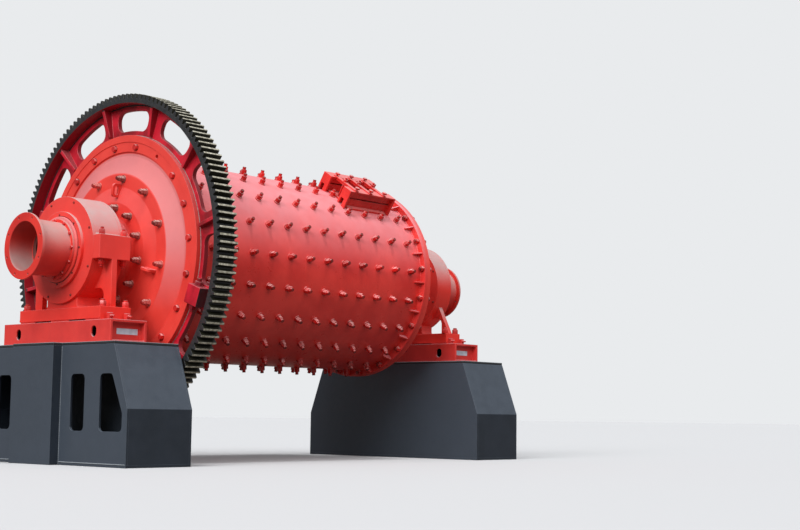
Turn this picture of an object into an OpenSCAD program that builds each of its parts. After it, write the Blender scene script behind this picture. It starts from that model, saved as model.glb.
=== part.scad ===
// Overflow ball mill on two welded pedestals: a bolted shell with dished heads and
// hollow trunnions, a spur girth gear in two halves, and two round bearing housings.
// Millimetres. +X runs along the mill from the discharge end to the feed end, +Z is up.
// The origin is on the ground, midway along the mill, under its axis.
// Angles called clock angles are seen from the discharge end: 0 is to the right (-Y), 90 is up.

/* [Drum] */
// Height of the mill's axis above the ground
axis_h = 1850; // [1750:10:2200]
// Clock angle at which the drum stands at rest
drum_angle = -20; // [-180:1:180]
// Inside diameter of the shell plate
shell_id = 1830; // [1780:10:1840]
// Thickness of the shell plate
shell_wall = 16; // [10:1:25]
// Length of the shell over its two end flanges
shell_len = 3060; // [2600:10:3600]
// Thickness of each shell end flange
shell_flange_t = 40; // [25:1:60]
// Outside diameter of the feed-end flanges
feed_flange_d = 1990; // [1970:10:2100]
// Radial stiffeners behind each shell flange
gusset_count = 20; // [8:1:24]
// Length of one stiffener along the shell
gusset_len = 95; // [60:5:140]
// Plate thickness of one stiffener
gusset_t = 14; // [8:1:20]

/* [Heads and trunnions] */
// Outside diameter of the gear-end head flange
gear_flange_d = 2216; // [2140:4:2260]
// Thickness of a head flange at its rim
head_flange_t = 46; // [36:1:70]
// Thickness of the dished wall of a head
head_wall = 62; // [45:1:90]
// How far the middle of a head stands out from its flange
head_rise = 86; // [60:2:140]
// Diameter of the journals in the bearings
journal_d = 580; // [520:5:640]
// Bore through each trunnion
trunnion_bore_d = 380; // [300:5:420]
// From the gear-end head flange to its bearing housing
neck_discharge = 283; // [240:1:420]
// From the feed-end head flange to its bearing housing
neck_feed = 725; // [300:5:900]
// How far a journal stands out of its housing
journal_out = 44; // [36:1:90]

/* [Spouts] */
// Length of a spout from its root face to its mouth
spout_len = 339; // [200:1:500]
// Outside diameter of the mouth flange
spout_flange_d = 578; // [560:2:640]
// Thickness of the mouth flange
spout_flange_t = 24; // [16:1:36]
// Diameter of the straight mouth
spout_mouth_d = 428; // [400:2:440]
// Wall of the spout tube
spout_wall = 32; // [20:1:34]
// Bore of the ring inside a spout
spout_bore_d = 314; // [280:2:360]
// How far that ring stands in from the root face
spout_step = 110; // [60:5:150]
// Tapped holes in the mouth flange
spout_holes = 8; // [4:1:12]
// Circle of those holes
spout_hole_pcd = 518; // [490:2:530]
// Diameter of one of those holes
spout_hole_d = 18; // [12:1:24]

/* [Girth gear] */
// Number of teeth, an even number
gear_teeth = 146; // [120:2:160]
// Module of the teeth
gear_module = 20; // [18:1:21]
// Width of the toothed rim
gear_width = 200; // [180:5:230]
// Thickness of the rim under the teeth
rim_t = 40; // [30:1:60]
// Thickness of the web plate
web_t = 46; // [30:1:60]
// From the rim's outboard edge to the web
web_setback = 104; // [90:1:120]
// Windows in the web, and ribs between them, an even number
window_count = 12; // [8:2:16]
// Share of the pitch that one window takes
window_share = 0.68; // [0.5:0.01:0.75]
// Plain ring between the head flange and the windows
window_inner_gap = 46; // [36:1:90]
// Plain ring between the windows and the rim
window_outer_gap = 56; // [36:1:90]
// Thickness of one rib
rib_t = 36; // [20:1:50]
// Half width of one split-joint block
joint_block_w = 85; // [60:1:110]
// Radius at which the split-joint blocks end
joint_block_out_r = 1278; // [1240:2:1300]

/* [Manhole] */
// From the feed end of the shell back to the middle of the manhole
manhole_back = 603; // [560:1:900]
// Clock angle of the manhole on the drum, before the drum is turned
manhole_angle = 77; // [0:1:359]
// Opening along the shell
manhole_len = 430; // [300:5:480]
// Opening round the shell, measured straight across
manhole_w = 330; // [240:5:360]
// Height of the two bearers above the manhole's frame
bearer_h = 150; // [135:5:190]
// Width of one bearer
bearer_w = 120; // [110:2:140]
// How far each bearer laps over the opening
bearer_lap = 60; // [40:2:80]
// Bridges across the two bearers
bridge_count = 3; // [2:1:3]
// From one bridge to the next
bridge_pitch = 200; // [150:5:210]

/* [Bearings] */
// Outside diameter of a bearing housing
housing_d = 942; // [900:2:980]
// Length of the discharge-end housing over its covers
housing_len_discharge = 321; // [240:1:400]
// Length of the feed-end housing over its covers
housing_len_feed = 230; // [200:1:400]
// Thickness of each end cover
cover_t = 30; // [20:1:40]
// Outside diameter of the bearing ring in the housing
bush_d = 800; // [760:5:820]
// Outside diameter of the seal ring on a cover
seal_d = 672; // [660:2:700]
// Thickness of the seal ring
seal_t = 28; // [16:1:34]
// Height of a split-flange lug, both halves together
lug_h = 208; // [140:2:260]
// Width over the two split-flange lugs
lug_span = 1124; // [1060:2:1180]
// Width of the housing's foot across the mill
foot_w = 1194; // [1150:2:1240]
// Height of the axis above the sole plate
bearing_h = 631; // [600:1:680]
// Top of the foot above the sole plate
foot_top = 118; // [90:1:140]
// Height of the shim pads under the foot
pad_h = 14; // [8:1:24]

/* [Sole plates and pedestals] */
// Length of a sole plate across the mill
sole_len = 1578; // [1500:2:1700]
// Width of a sole plate along the mill
sole_w = 382; // [360:2:460]
// Height of a sole plate
sole_h = 194; // [160:1:220]
// Wall of the sole plate's hollow casting
sole_wall = 26; // [18:1:34]
// From the bearing's middle out to the pedestal's outer face
ped_out = 320; // [290:5:350]
// Pedestal depth along the mill
ped_depth = 670; // [600:5:685]
// Pedestal width at the ground
ped_w = 2444; // [2300:4:2600]
// Pedestal width under its top plate
ped_top_w = 2048; // [1700:4:2200]
// Height at which the pedestal's sides start to lean in
ped_kink_h = 472; // [300:4:600]
// Plate thickness of a pedestal
ped_t = 20; // [12:1:30]
// Thickness of the pedestal's base and top plates
ped_plate_t = 24; // [16:1:40]
// Width of the middle column of a pedestal
column_w = 608; // [500:4:640]
// How far the middle column stands out of the outer plate
column_out = 88; // [50:2:140]
// Height of the slots in the outer plate
slot_h = 472; // [300:4:520]
// Bottom of the slots above the ground
slot_z = 286; // [200:2:340]
// From the mill's middle plane to the inner slot
slot_in = 447; // [400:2:470]
// Width of the inner slot
slot_w = 190; // [120:2:240]
// From the mill's middle plane to the outer slot
slot_out = 850; // [760:2:900]

/* [Hidden] */

$fn = 120;
DISCHARGE = -1;
FEED = 1;
eps = 1;
// Gap between a turning face and a fixed one, and in the journals
run_gap = 5;
journal_gap = 0.3;
fit_gap = 0.3;
seat_gap = 0.05;

mill_red = "#e0463e";
dark_red = "#c0362f";
gear_red = "#b8122e";
rim_black = "#23282a";
steel_grey = "#4a5058";

shell_r = shell_id / 2 + shell_wall;
spigot_r = shell_id / 2 - 1;

// Stations along the mill, from the discharge mouth to the feed mouth
overall_len = 2 * spout_len + 2 * journal_out + housing_len_discharge + housing_len_feed
    + neck_discharge + neck_feed + 2 * head_flange_t + web_t + shell_len;
x_mouth_d = -overall_len / 2;
x_journal_d = x_mouth_d + spout_len;
x_cover_d = x_journal_d + journal_out;
x_neck_d = x_cover_d + housing_len_discharge;
x_head_d = x_neck_d + neck_discharge;
x_web = x_head_d + head_flange_t;
x_shell = x_web + web_t;
x_shell_end = x_shell + shell_len;
x_head_f = x_shell_end + head_flange_t;
x_neck_f = x_head_f + neck_feed;
x_cover_f = x_neck_f + housing_len_feed;
x_journal_f = x_cover_f + journal_out;
x_gear = x_web - web_setback;
x_manhole = x_shell_end - manhole_back;

function housing_len(end) = end == FEED ? housing_len_feed : housing_len_discharge;
function bearing_mid(end) = end == FEED ? (x_neck_f + x_cover_f) / 2 : (x_cover_d + x_neck_d) / 2;
function neck_len(end) = end == FEED ? neck_feed : neck_discharge;

// Levels of the supports
ped_top = axis_h - bearing_h - sole_h;
sole_top = ped_top + sole_h;
foot_z = sole_top + foot_top;

// Puts +Z of the child on the outboard direction of an end, on the drum's axis
module outboard(end) {
    translate([0, 0, axis_h]) rotate([0, end * 90, 0]) children();
}

// Turns the child, drawn towards -Y, to a clock angle on the drum's axis
module at_clock(angle) {
    translate([0, 0, axis_h]) rotate([-angle - drum_angle, 0, 0]) children();
}

// Places the child, drawn at the discharge end with outboard towards -X, at either end
module at_bearing(end) {
    translate([bearing_mid(end), 0, 0]) mirror([end == FEED ? 1 : 0, 0, 0]) children();
}

// Point of a flat outline that is later turned to face along +X
function clock_point(r, angle) = [-r * sin(angle), -r * cos(angle)];

module extrude_x(x, length) {
    translate([x, 0, 0]) rotate([0, 90, 0]) linear_extrude(height = length) children();
}

// Shell and flanges

module shell() {
    color(mill_red) difference() {
        translate([x_shell, 0, axis_h]) rotate([0, 90, 0]) difference() {
            cylinder(r = shell_r, h = shell_len);
            translate([0, 0, -eps]) cylinder(d = shell_id, h = shell_len + 2 * eps);
        }
        at_clock(manhole_angle) manhole_cut(0);
    }
}

module manhole_cut(margin) {
    translate([x_manhole - manhole_len / 2 - margin, -shell_r - bearer_h, -manhole_w / 2 - margin])
        cube([manhole_len + 2 * margin, shell_r, manhole_w + 2 * margin]);
}

module shell_flange(x, d) {
    translate([x, 0, axis_h]) rotate([0, 90, 0]) difference() {
        cylinder(d = d, h = shell_flange_t);
        translate([0, 0, -eps]) cylinder(r = shell_r, h = shell_flange_t + 2 * eps);
    }
}

module gear_end_shell_flange() {
    color(dark_red) shell_flange(x_shell, gear_flange_d);
}

module feed_end_shell_flange() {
    color(mill_red) shell_flange(x_shell_end - shell_flange_t, feed_flange_d);
}

// Stiffener behind a shell flange; side is the direction in which it runs off along the shell
module gusset(x, side, flange_r) {
    translate([x, 0, -gusset_t / 2]) linear_extrude(height = gusset_t) polygon([
        [0, -shell_r], [0, 8 - flange_r], [side * 16, 8 - flange_r],
        [side * gusset_len, -22 - shell_r], [side * gusset_len, -shell_r]
    ]);
}

module shell_gussets() {
    color(mill_red) for (k = [0 : gusset_count - 1]) at_clock(35 + k * 360 / gusset_count) {
        gusset(x_shell_end - shell_flange_t, -1, feed_flange_d / 2);
        gusset(x_shell + shell_flange_t, 1, gear_flange_d / 2);
    }
}

// Heads: a flange, a recessed bolt band, a cone, two raised liner-bolt rings, and the trunnion

function head_profile(flange_r, neck, housing) = [
    [flange_r, -head_flange_t], [flange_r, 0],
    [flange_r - rim_band, 0], [flange_r - rim_band, -8],
    [band_in(flange_r), -8], [band_in(flange_r), -24], [band_in(flange_r) - 36, -24],
    [ring1_out, head_rise - 38], [ring1_in, head_rise - 38],
    [ring2_out, head_rise], [journal_d / 2 + 60, head_rise],
    [journal_d / 2 + 36, head_rise + 8], [journal_d / 2 + 16, head_rise + 28],
    [journal_d / 2 + 10, head_rise + 52],
    [journal_d / 2 + 10, neck - 28], [journal_d / 2, neck - 18],
    [journal_d / 2, neck + housing + journal_out],
    [trunnion_bore_d / 2, neck + housing + journal_out],
    [trunnion_bore_d / 2, head_rise - head_wall],
    [ring2_out, head_rise - head_wall], [ring1_out, head_rise - 38 - head_wall],
    [spigot_r, -24 - head_wall], [spigot_r, -head_flange_t]
];
rim_band = 64;
ring1_out = 744;
ring1_in = 625;
ring2_out = 481;
function band_in(flange_r) = flange_r == gear_flange_d / 2 ? flange_r - 153 : flange_r - 100;

module head(end, flange_r) {
    x_flange = end == FEED ? x_head_f : x_head_d;
    translate([x_flange, 0, 0]) outboard(end)
        rotate_extrude() polygon(head_profile(flange_r, neck_len(end), housing_len(end)));
}

// Flange bolt circles, and the one bolt hole that stands empty
gear_bolt_r = gear_flange_d / 2 - 108;
flange_bolt_hole_d = 38;
empty_hole_angle = 79;

// Two lifting eyes on the first liner-bolt ring
eye_angles = [102, 4];
eye_t = 24;
eye_depth = 98;
eye_r = 34;
eye_half = 62;
eye_slot_d = 40;
eye_slot_half = 22;
module lifting_eye(angle) {
    at_clock(angle) translate([x_head_d - head_rise + 38 - 96, -590, -eye_t / 2]) difference() {
        union() {
            translate([eye_r, -eye_half, 0]) cube([eye_depth - eye_r, 2 * eye_half, eye_t]);
            translate([0, eye_r - eye_half, 0]) cube([eye_r + eps, 2 * (eye_half - eye_r), eye_t]);
            for (s = [-1, 1]) translate([eye_r, s * (eye_half - eye_r), 0])
                cylinder(r = eye_r, h = eye_t, $fn = 48);
        }
        for (s = [-1, 1]) translate([eye_r + 10, s * eye_slot_half, -eps])
            cylinder(d = eye_slot_d, h = eye_t + 2 * eps, $fn = 32);
        translate([eye_r + 10 - eye_slot_d / 2, -eye_slot_half, -eps])
            cube([eye_slot_d, 2 * eye_slot_half, eye_t + 2 * eps]);
    }
}

module discharge_head() {
    color(mill_red) difference() {
        union() {
            head(DISCHARGE, gear_flange_d / 2);
            for (angle = eye_angles) lifting_eye(angle);
        }
        at_clock(empty_hole_angle) translate([x_head_d - eps, -gear_bolt_r, 0]) rotate([0, 90, 0])
            cylinder(d = flange_bolt_hole_d, h = head_flange_t + 2 * eps, $fn = 32);
    }
}

module feed_head() {
    color(mill_red) head(FEED, feed_flange_d / 2);
}

// Spouts: a tapered tube between a bolted root flange and a mouth flange, with a thick ring inside its root
root_flange_t = 20;
root_wall = 22;
spout_taper = 6;

module spout(end) {
    root_r = journal_d / 2 - 26;
    mouth_r = spout_mouth_d / 2;
    ring_r = spout_bore_d / 2;
    x_root = end == FEED ? x_journal_f : x_journal_d;
    translate([x_root, 0, 0]) outboard(end) difference() {
        rotate_extrude() polygon([
            [ring_r, 0], [root_r, 0], [root_r, root_flange_t], [mouth_r + root_wall, root_flange_t],
            [mouth_r + spout_wall, spout_len - spout_flange_t],
            [spout_flange_d / 2, spout_len - spout_flange_t], [spout_flange_d / 2, spout_len],
            [mouth_r, spout_len], [mouth_r, spout_len - spout_flange_t],
            [mouth_r - spout_taper, spout_step], [ring_r, spout_step]
        ]);
        for (k = [0 : spout_holes - 1]) rotate(spout_hole_turn(end) + k * 360 / spout_holes)
            translate([spout_hole_pcd / 2, 0, spout_len - spout_flange_t])
                cylinder(d = spout_hole_d, h = spout_flange_t + eps, $fn = 24);
    }
}
function spout_hole_turn(end) = end == FEED ? 180 - 19 : 19;

module discharge_spout() { color(mill_red) spout(DISCHARGE); }
module feed_spout() { color(mill_red) spout(FEED); }

// Girth gear: involute teeth on a rim, a web with rounded windows, ribs and split-joint blocks

pitch_r = gear_teeth * gear_module / 2;
tip_r = pitch_r + gear_module;
root_r = pitch_r - 1.25 * gear_module;
rim_in_r = root_r - rim_t;
base_r = pitch_r * cos(20);
tooth_pitch = 360 / gear_teeth;
window_in_r = gear_flange_d / 2 + window_inner_gap;
window_out_r = rim_in_r - window_outer_gap;

function involute(angle) = tan(angle) * 180 / PI - angle;
function pressure(r) = acos(base_r / r);
function half_tooth(r) = 90 / gear_teeth + involute(20) - involute(pressure(r));

// Radii at which each flank is drawn, from root to tip
flank_r = [for (i = [0 : 3]) root_r + (tip_r - root_r) * i / 3];

function tooth(mid) = concat(
    [for (i = [0 : 3]) clock_point(flank_r[i], mid - half_tooth(flank_r[i]))],
    [for (i = [3 : -1 : 0]) clock_point(flank_r[i], mid + half_tooth(flank_r[i]))]
);

// Half of the toothed rim, its ends in the middle of a tooth gap
function rim_points(start) = concat(
    [clock_point(rim_in_r - eps, start), clock_point(root_r, start)],
    [for (k = [0 : gear_teeth / 2 - 1]) for (p = tooth(start + (k + 0.5) * tooth_pitch)) p],
    [clock_point(root_r, start + 180), clock_point(rim_in_r - eps, start + 180)],
    [for (a = [178 : -2 : 2]) clock_point(rim_in_r - 30, start + a)]
);

// Rounded window, a ring sector with round corners
window_corner = min(75, (window_out_r - window_in_r) / 2 - 8);
window_half = 180 / window_count * window_share;
function arc(centre, r, from, to, steps) =
    [for (i = [0 : steps]) centre + clock_point(r, from + (to - from) * i / steps)];
function window_points(mid) = let (
    low = window_in_r + window_corner,
    high = window_out_r - window_corner,
    a_low = window_half - asin(window_corner / low),
    a_high = window_half - asin(window_corner / high)
) concat(
    arc([0, 0], window_in_r, mid - a_low * 0.8, mid + a_low * 0.8, 8),
    arc(clock_point(low, mid + a_low), window_corner, mid + a_low + 180, mid + window_half + 90, 6),
    arc(clock_point(high, mid + a_high), window_corner, mid + window_half + 90, mid + a_high, 6),
    arc([0, 0], window_out_r, mid + a_high * 0.8, mid - a_high * 0.8, 8),
    arc(clock_point(high, mid - a_high), window_corner, mid - a_high, mid - window_half - 90, 6),
    arc(clock_point(low, mid - a_low), window_corner, mid - window_half - 90, mid - a_low - 180, 6)
);

module gear_rib(angle) {
    slope = 50;
    at_clock(angle) for (s = [-1, 1]) {
        depth = s < 0 ? web_setback - 14 : gear_width - web_setback - web_t - 10;
        inner = gear_flange_d / 2 + 12;
        face = s < 0 ? x_web + eps : x_web + web_t - eps;
        translate([face, 0, -rib_t / 2]) linear_extrude(height = rib_t) polygon([
            [0, -inner], [s * (depth - slope), -inner - 10],
            [s * depth, -rim_in_r - rim_t / 3], [0, -rim_in_r - rim_t / 3]
        ]);
    }
}

// Bolted block on each face of the web, on one side of the split
module joint_block(angle, side) {
    length = joint_block_out_r - gear_flange_d / 2 - 4;
    for (face = [x_gear + 5, x_web + web_t - eps])
        at_clock(angle) translate([face, -joint_block_out_r, side > 0 ? 0 : -joint_block_w])
            cube([(face < x_web ? x_web : x_gear + gear_width - 5) - face + (face < x_web ? eps : 0),
                length, joint_block_w]);
}

// Half of the gear, from the clock angle where its split joint starts
module gear_half(start) {
    color(rim_black) translate([0, 0, axis_h]) rotate([-drum_angle, 0, 0])
        extrude_x(x_gear, gear_width) difference() {
            polygon(rim_points(start));
            circle(r = rim_in_r);
        }
    color(gear_red) translate([0, 0, axis_h]) rotate([-drum_angle, 0, 0])
        extrude_x(x_web + seat_gap, web_t - 2 * seat_gap) difference() {
            circle(r = rim_in_r + rim_t / 3);
            circle(r = shell_r);
            rotate(start == 0 ? 0 : 180) translate([0, -tip_r]) square([tip_r, 2 * tip_r]);
            for (k = [0 : window_count / 2 - 1])
                polygon(window_points(start + (k + 0.5) * 360 / window_count));
        }
    color(gear_red) for (k = [1 : window_count / 2 - 1]) gear_rib(start + k * 360 / window_count);
    color(gear_red) joint_block(start, 1);
    color(gear_red) joint_block(start + 180, -1);
}

module girth_gear_upper_half() { union() gear_half(0); }
module girth_gear_lower_half() { union() gear_half(180); }

// Manhole: a curved frame on the shell, a cover in it, bearers and bridges over it

frame_margin = 60;
frame_t = 18;
bearer_over = 115;
module manhole_frame() {
    color(mill_red) difference() {
        intersection() {
            translate([x_shell, 0, axis_h]) rotate([0, 90, 0]) difference() {
                cylinder(r = shell_r + frame_t, h = shell_len);
                translate([0, 0, -eps]) cylinder(r = shell_r + fit_gap, h = shell_len + 2 * eps);
            }
            at_clock(manhole_angle) manhole_cut(frame_margin);
        }
        at_clock(manhole_angle) manhole_cut(0);
    }
}

module manhole_cover() {
    color(mill_red) intersection() {
        translate([x_shell, 0, axis_h]) rotate([0, 90, 0]) difference() {
            cylinder(r = shell_r + frame_t - 4, h = shell_len);
            translate([0, 0, -eps]) cylinder(r = shell_id / 2, h = shell_len + 2 * eps);
        }
        at_clock(manhole_angle) manhole_cut(-fit_gap);
    }
}

// Each bearer is a box along one edge of the opening. Its wall stands back from the side that faces down
// the shell, and a window goes through both of its ends
bearer_gap = manhole_w - 2 * bearer_lap;
bearer_len = manhole_len + 2 * bearer_over;
bearer_top = shell_r + frame_t + bearer_h;
bearer_x = x_manhole - bearer_len / 2;
bearer_plate = 14;
bearer_post = 22;
bearer_recess = 40;
bearer_wall = 10;
bearer_back = 12;
bearer_window_top = 110;
bearer_slit_top = 82;
bearer_slit_h = 13;
bearer_deep = bearer_h + 80;
module manhole_bearer(low) {
    inside_x = bearer_x + bearer_post;
    inside_len = bearer_len - 2 * bearer_post;
    wall_z = low + bearer_recess;
    hollow_z = wall_z + bearer_wall;
    hollow_w = bearer_w - bearer_recess - bearer_wall - bearer_back;
    at_clock(manhole_angle) difference() {
        translate([bearer_x, -bearer_top, low]) cube([bearer_len, bearer_deep, bearer_w]);
        translate([inside_x, -bearer_top + bearer_plate, low - eps])
            cube([inside_len, bearer_deep, bearer_recess + eps]);
        translate([inside_x, -bearer_top + bearer_plate, hollow_z])
            cube([inside_len, bearer_deep, hollow_w]);
        translate([bearer_x - eps, -bearer_top + bearer_window_top, hollow_z])
            cube([bearer_len + 2 * eps, bearer_deep, hollow_w - bearer_back]);
        translate([inside_x, -bearer_top + bearer_slit_top, wall_z - eps])
            cube([inside_len, bearer_slit_h, bearer_wall + 2 * eps]);
        translate([x_shell, 0, 0]) rotate([0, 90, 0])
            cylinder(r = shell_r + fit_gap, h = shell_len, $fn = 180);
        intersection() {
            manhole_cut(frame_margin + 1);
            translate([x_shell, 0, 0]) rotate([0, 90, 0])
                cylinder(r = shell_r + frame_t + fit_gap, h = shell_len, $fn = 180);
        }
    }
}

module manhole_bearers() {
    color(mill_red) for (low = [-bearer_gap / 2 - bearer_w, bearer_gap / 2]) manhole_bearer(low);
}

// Each bridge is a flat bar across the bearers with a rib below it, between them
bridge_w = 44;
bridge_t = 12;
bridge_rib_t = 14;
bridge_rib_h = 26;
bridge_shift = -45;
bridge_end = 40;
module manhole_bridge(x) {
    at_clock(manhole_angle) {
        translate([x - bridge_w / 2, -bearer_top - bridge_t, -bearer_gap / 2 - bearer_w])
            cube([bridge_w, bridge_t, bearer_gap + bearer_w + bridge_end]);
        translate([x - bridge_rib_t / 2, -bearer_top - eps, -bearer_gap / 2 + fit_gap])
            cube([bridge_rib_t, bridge_rib_h, bearer_gap - 2 * fit_gap]);
    }
}

module manhole_bridges() {
    color(mill_red) for (k = [0 : bridge_count - 1]) union()
        manhole_bridge(x_manhole + bridge_shift + (k - (bridge_count - 1) / 2) * bridge_pitch);
}

// Bearings

module bearing_ring(end) {
    length = housing_len(end) - 2 * cover_t;
    translate([bearing_mid(end), 0, axis_h]) rotate([0, 90, 0]) difference() {
        cylinder(d = bush_d, h = length, center = true);
        cylinder(r = journal_d / 2 + journal_gap, h = length + 2 * eps, center = true);
    }
}

// Disc that closes one face of a housing; side is -1 for the outboard face
module end_cover(end, side) {
    at_bearing(end) translate([side < 0 ? -housing_len(end) / 2 : housing_len(end) / 2 - cover_t, 0, axis_h])
        rotate([0, 90, 0]) difference() {
            cylinder(d = housing_d, h = cover_t);
            translate([0, 0, -eps]) cylinder(r = journal_d / 2 + run_gap, h = cover_t + 2 * eps);
        }
}

module seal_ring(end) {
    at_bearing(end) translate([-housing_len(end) / 2 - seal_t, 0, axis_h]) rotate([0, 90, 0])
        difference() {
            cylinder(d = seal_d, h = seal_t);
            translate([0, 0, -eps]) cylinder(r = journal_d / 2 + run_gap, h = seal_t + 2 * eps);
        }
}

// Barrel of a housing between its covers
module barrel(end) {
    length = housing_len(end) - 2 * cover_t;
    translate([0, 0, axis_h]) rotate([0, 90, 0]) difference() {
        cylinder(d = housing_d, h = length, center = true);
        cylinder(r = bush_d / 2 + fit_gap, h = length + 2 * eps, center = true);
    }
}

lug_in = housing_d / 2 - 34;
module split_lugs(end, z, height) {
    length = housing_len(end) - 2 * cover_t;
    difference() {
        for (s = [-1, 1]) translate([-housing_len(end) / 2, s > 0 ? lug_in : -lug_span / 2, z])
            cube([housing_len(end), lug_span / 2 - lug_in, height]);
        translate([0, 0, axis_h]) rotate([0, 90, 0]) {
            cylinder(d = housing_d - 60, h = length, center = true);
            for (s = [-1, 1]) translate([0, 0, s * (length / 2 + cover_t / 2)])
                cylinder(r = housing_d / 2 + fit_gap, h = cover_t + 0.02, center = true);
        }
    }
}

// Foot, saddle and webs that carry a barrel
web_plate_t = 55;
saddle_w = 440;
saddle_flare = 28;
web_window_h = 170;
web_window_r = 65;
web_window_wall = 107;
pad_runs = [[-597, -378], [-130, 130], [378, 597]];
module saddle(end, half_width) {
    length = housing_len(end) - 2 * cover_t;
    foot_low = sole_top + pad_h;
    difference() {
        union() {
            translate([-housing_len(end) / 2, -foot_w / 2, foot_low])
                cube([housing_len(end), foot_w, foot_top - pad_h]);
            for (run = pad_runs) translate([-housing_len(end) / 2 + 10, run[0] * foot_w / 1194, sole_top])
                cube([housing_len(end) - 20, (run[1] - run[0]) * foot_w / 1194, pad_h + eps]);
            translate([-length / 2, 0, 0]) rotate([90, 0, 90]) linear_extrude(height = length) polygon([
                [-saddle_w / 2 - saddle_flare, foot_z - eps],
                [-saddle_w / 2 - saddle_flare / 3, foot_z + saddle_flare / 3],
                [-saddle_w / 2, foot_z + saddle_flare],
                [-saddle_w / 2, axis_h - 300], [saddle_w / 2, axis_h - 300],
                [saddle_w / 2, foot_z + saddle_flare],
                [saddle_w / 2 + saddle_flare / 3, foot_z + saddle_flare / 3],
                [saddle_w / 2 + saddle_flare, foot_z - eps]
            ]);
            translate([-web_plate_t / 2, 0, 0]) rotate([90, 0, 90])
                linear_extrude(height = web_plate_t) saddle_web(end, half_width);
        }
        translate([0, 0, axis_h]) rotate([0, 90, 0])
            cylinder(d = housing_d - 20, h = length + 2 * eps, center = true);
    }
}

module saddle_web(end, half_width) {
    top = end == FEED ? axis_h - 210 : axis_h - lug_h / 2 + eps;
    difference() {
        polygon([
            [-lug_span / 2, foot_z - eps], [-half_width, top],
            [half_width, top], [lug_span / 2, foot_z - eps]
        ]);
        for (side = [0, 1]) mirror([side, 0]) web_window();
    }
}

// Opening between the saddle and the outer edge of a web, with a rounded top corner
module web_window() {
    inside = saddle_w / 2 - 5;
    outside = lug_span / 2 - web_window_wall;
    translate([inside, foot_z]) {
        translate([0, -eps]) square([outside - inside, web_window_h - web_window_r + eps]);
        square([outside - inside - web_window_r, web_window_h]);
        translate([outside - inside - web_window_r, web_window_h - web_window_r])
            circle(r = web_window_r, $fn = 64);
    }
}

module discharge_bearing_base() {
    color(mill_red) at_bearing(DISCHARGE) {
        saddle(DISCHARGE, lug_span / 2);
        intersection() {
            barrel(DISCHARGE);
            translate([-500, -1000, axis_h - 1000]) cube([1000, 2000, 1000]);
        }
        split_lugs(DISCHARGE, axis_h - lug_h / 2, lug_h / 2);
    }
}

module discharge_bearing_cap() {
    color(mill_red) at_bearing(DISCHARGE) {
        intersection() {
            barrel(DISCHARGE);
            translate([-500, -1000, axis_h]) cube([1000, 2000, 1000]);
        }
        split_lugs(DISCHARGE, axis_h, lug_h / 2);
    }
}

module feed_bearing_housing() {
    color(mill_red) at_bearing(FEED) {
        saddle(FEED, housing_d / 2 - 60);
        barrel(FEED);
    }
}

// Sole plates: hollow, with lifting holes and screw blocks that hold the housing in line

module sole_plate(end) {
    inner_w = sole_w - 2 * sole_wall;
    color(mill_red) at_bearing(end) difference() {
        union() {
            translate([-sole_w / 2, -sole_len / 2, ped_top]) cube([sole_w, sole_len, sole_h]);
            for (s = [-1, 1]) for (x = [-90, 90])
                translate([x - 22, s > 0 ? foot_w / 2 + 26 : -foot_w / 2 - 26 - 36, sole_top - eps])
                    cube([44, 36, 62 + eps]);
        }
        for (s = [-1, 1]) {
            translate([-inner_w / 2, s > 0 ? sole_len / 2 - 60 : -sole_len / 2 - eps, ped_top + 22])
                cube([inner_w, 60 + eps, sole_h - 44]);
            translate([-sole_w / 2 - eps, s * 559, ped_top + sole_h / 2]) rotate([0, 90, 0])
                lifting_hole(sole_w + 2 * eps);
        }
        translate([-inner_w / 2, -sole_len / 2 + 84, ped_top + 22])
            cube([inner_w, sole_len - 168, sole_h - 52]);
    }
}

module lifting_hole(length) {
    for (s = [-1, 1]) translate([s * 11, 0, 0]) cylinder(d = 70, h = length, $fn = 40);
    translate([-11, -35, 0]) cube([22, 70, length]);
}

// Pedestals: welded plate boxes with a middle column

function ped_outline(inset) = [
    [-ped_w / 2 + inset, ped_plate_t], [-ped_w / 2 + inset, ped_kink_h],
    [-ped_top_w / 2 + inset, ped_top - ped_plate_t], [ped_top_w / 2 - inset, ped_top - ped_plate_t],
    [ped_w / 2 - inset, ped_kink_h], [ped_w / 2 - inset, ped_plate_t]
];

module ped_slots() {
    high = slot_z + slot_h;
    for (s = [-1, 1]) scale([s, 1, 1]) {
        polygon(concat(
            slot_corner(slot_in, slot_z, 180, 270), slot_corner(slot_in + slot_w, slot_z, 270, 360),
            slot_corner(slot_in + slot_w, high, 0, 90), slot_corner(slot_in, high, 90, 180)
        ));
        polygon(concat(
            slot_corner(slot_out, slot_z, 180, 270), slot_corner(ped_w / 2 - 68, slot_z, 270, 360),
            [[ped_w / 2 - 68, slot_z + 148]],
            slot_corner(ped_w / 2 - 198, high, 15, 90), slot_corner(slot_out, high, 90, 180)
        ));
    }
}

// Round corner of a slot, inside the point where its two straight edges would meet
slot_r = 42;
function slot_corner(y, z, from, to) = let (
    mid = (from + to) / 2,
    c = [y - sign(round(cos(mid) * 10)) * slot_r, z - sign(round(sin(mid) * 10)) * slot_r]
) [for (i = [0 : 5]) let (a = from + (to - from) * i / 5) c + slot_r * [cos(a), sin(a)]];

module ped_plate(x, slots) {
    translate([x - ped_out, 0, 0]) rotate([90, 0, 90]) linear_extrude(height = ped_t) difference() {
        polygon(ped_outline(0));
        if (slots) ped_slots();
    }
}

module ped_base_plate(end) {
    color(steel_grey) at_bearing(end)
        translate([-ped_out, -ped_w / 2, 0]) cube([ped_depth, ped_w, ped_plate_t]);
}

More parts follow.
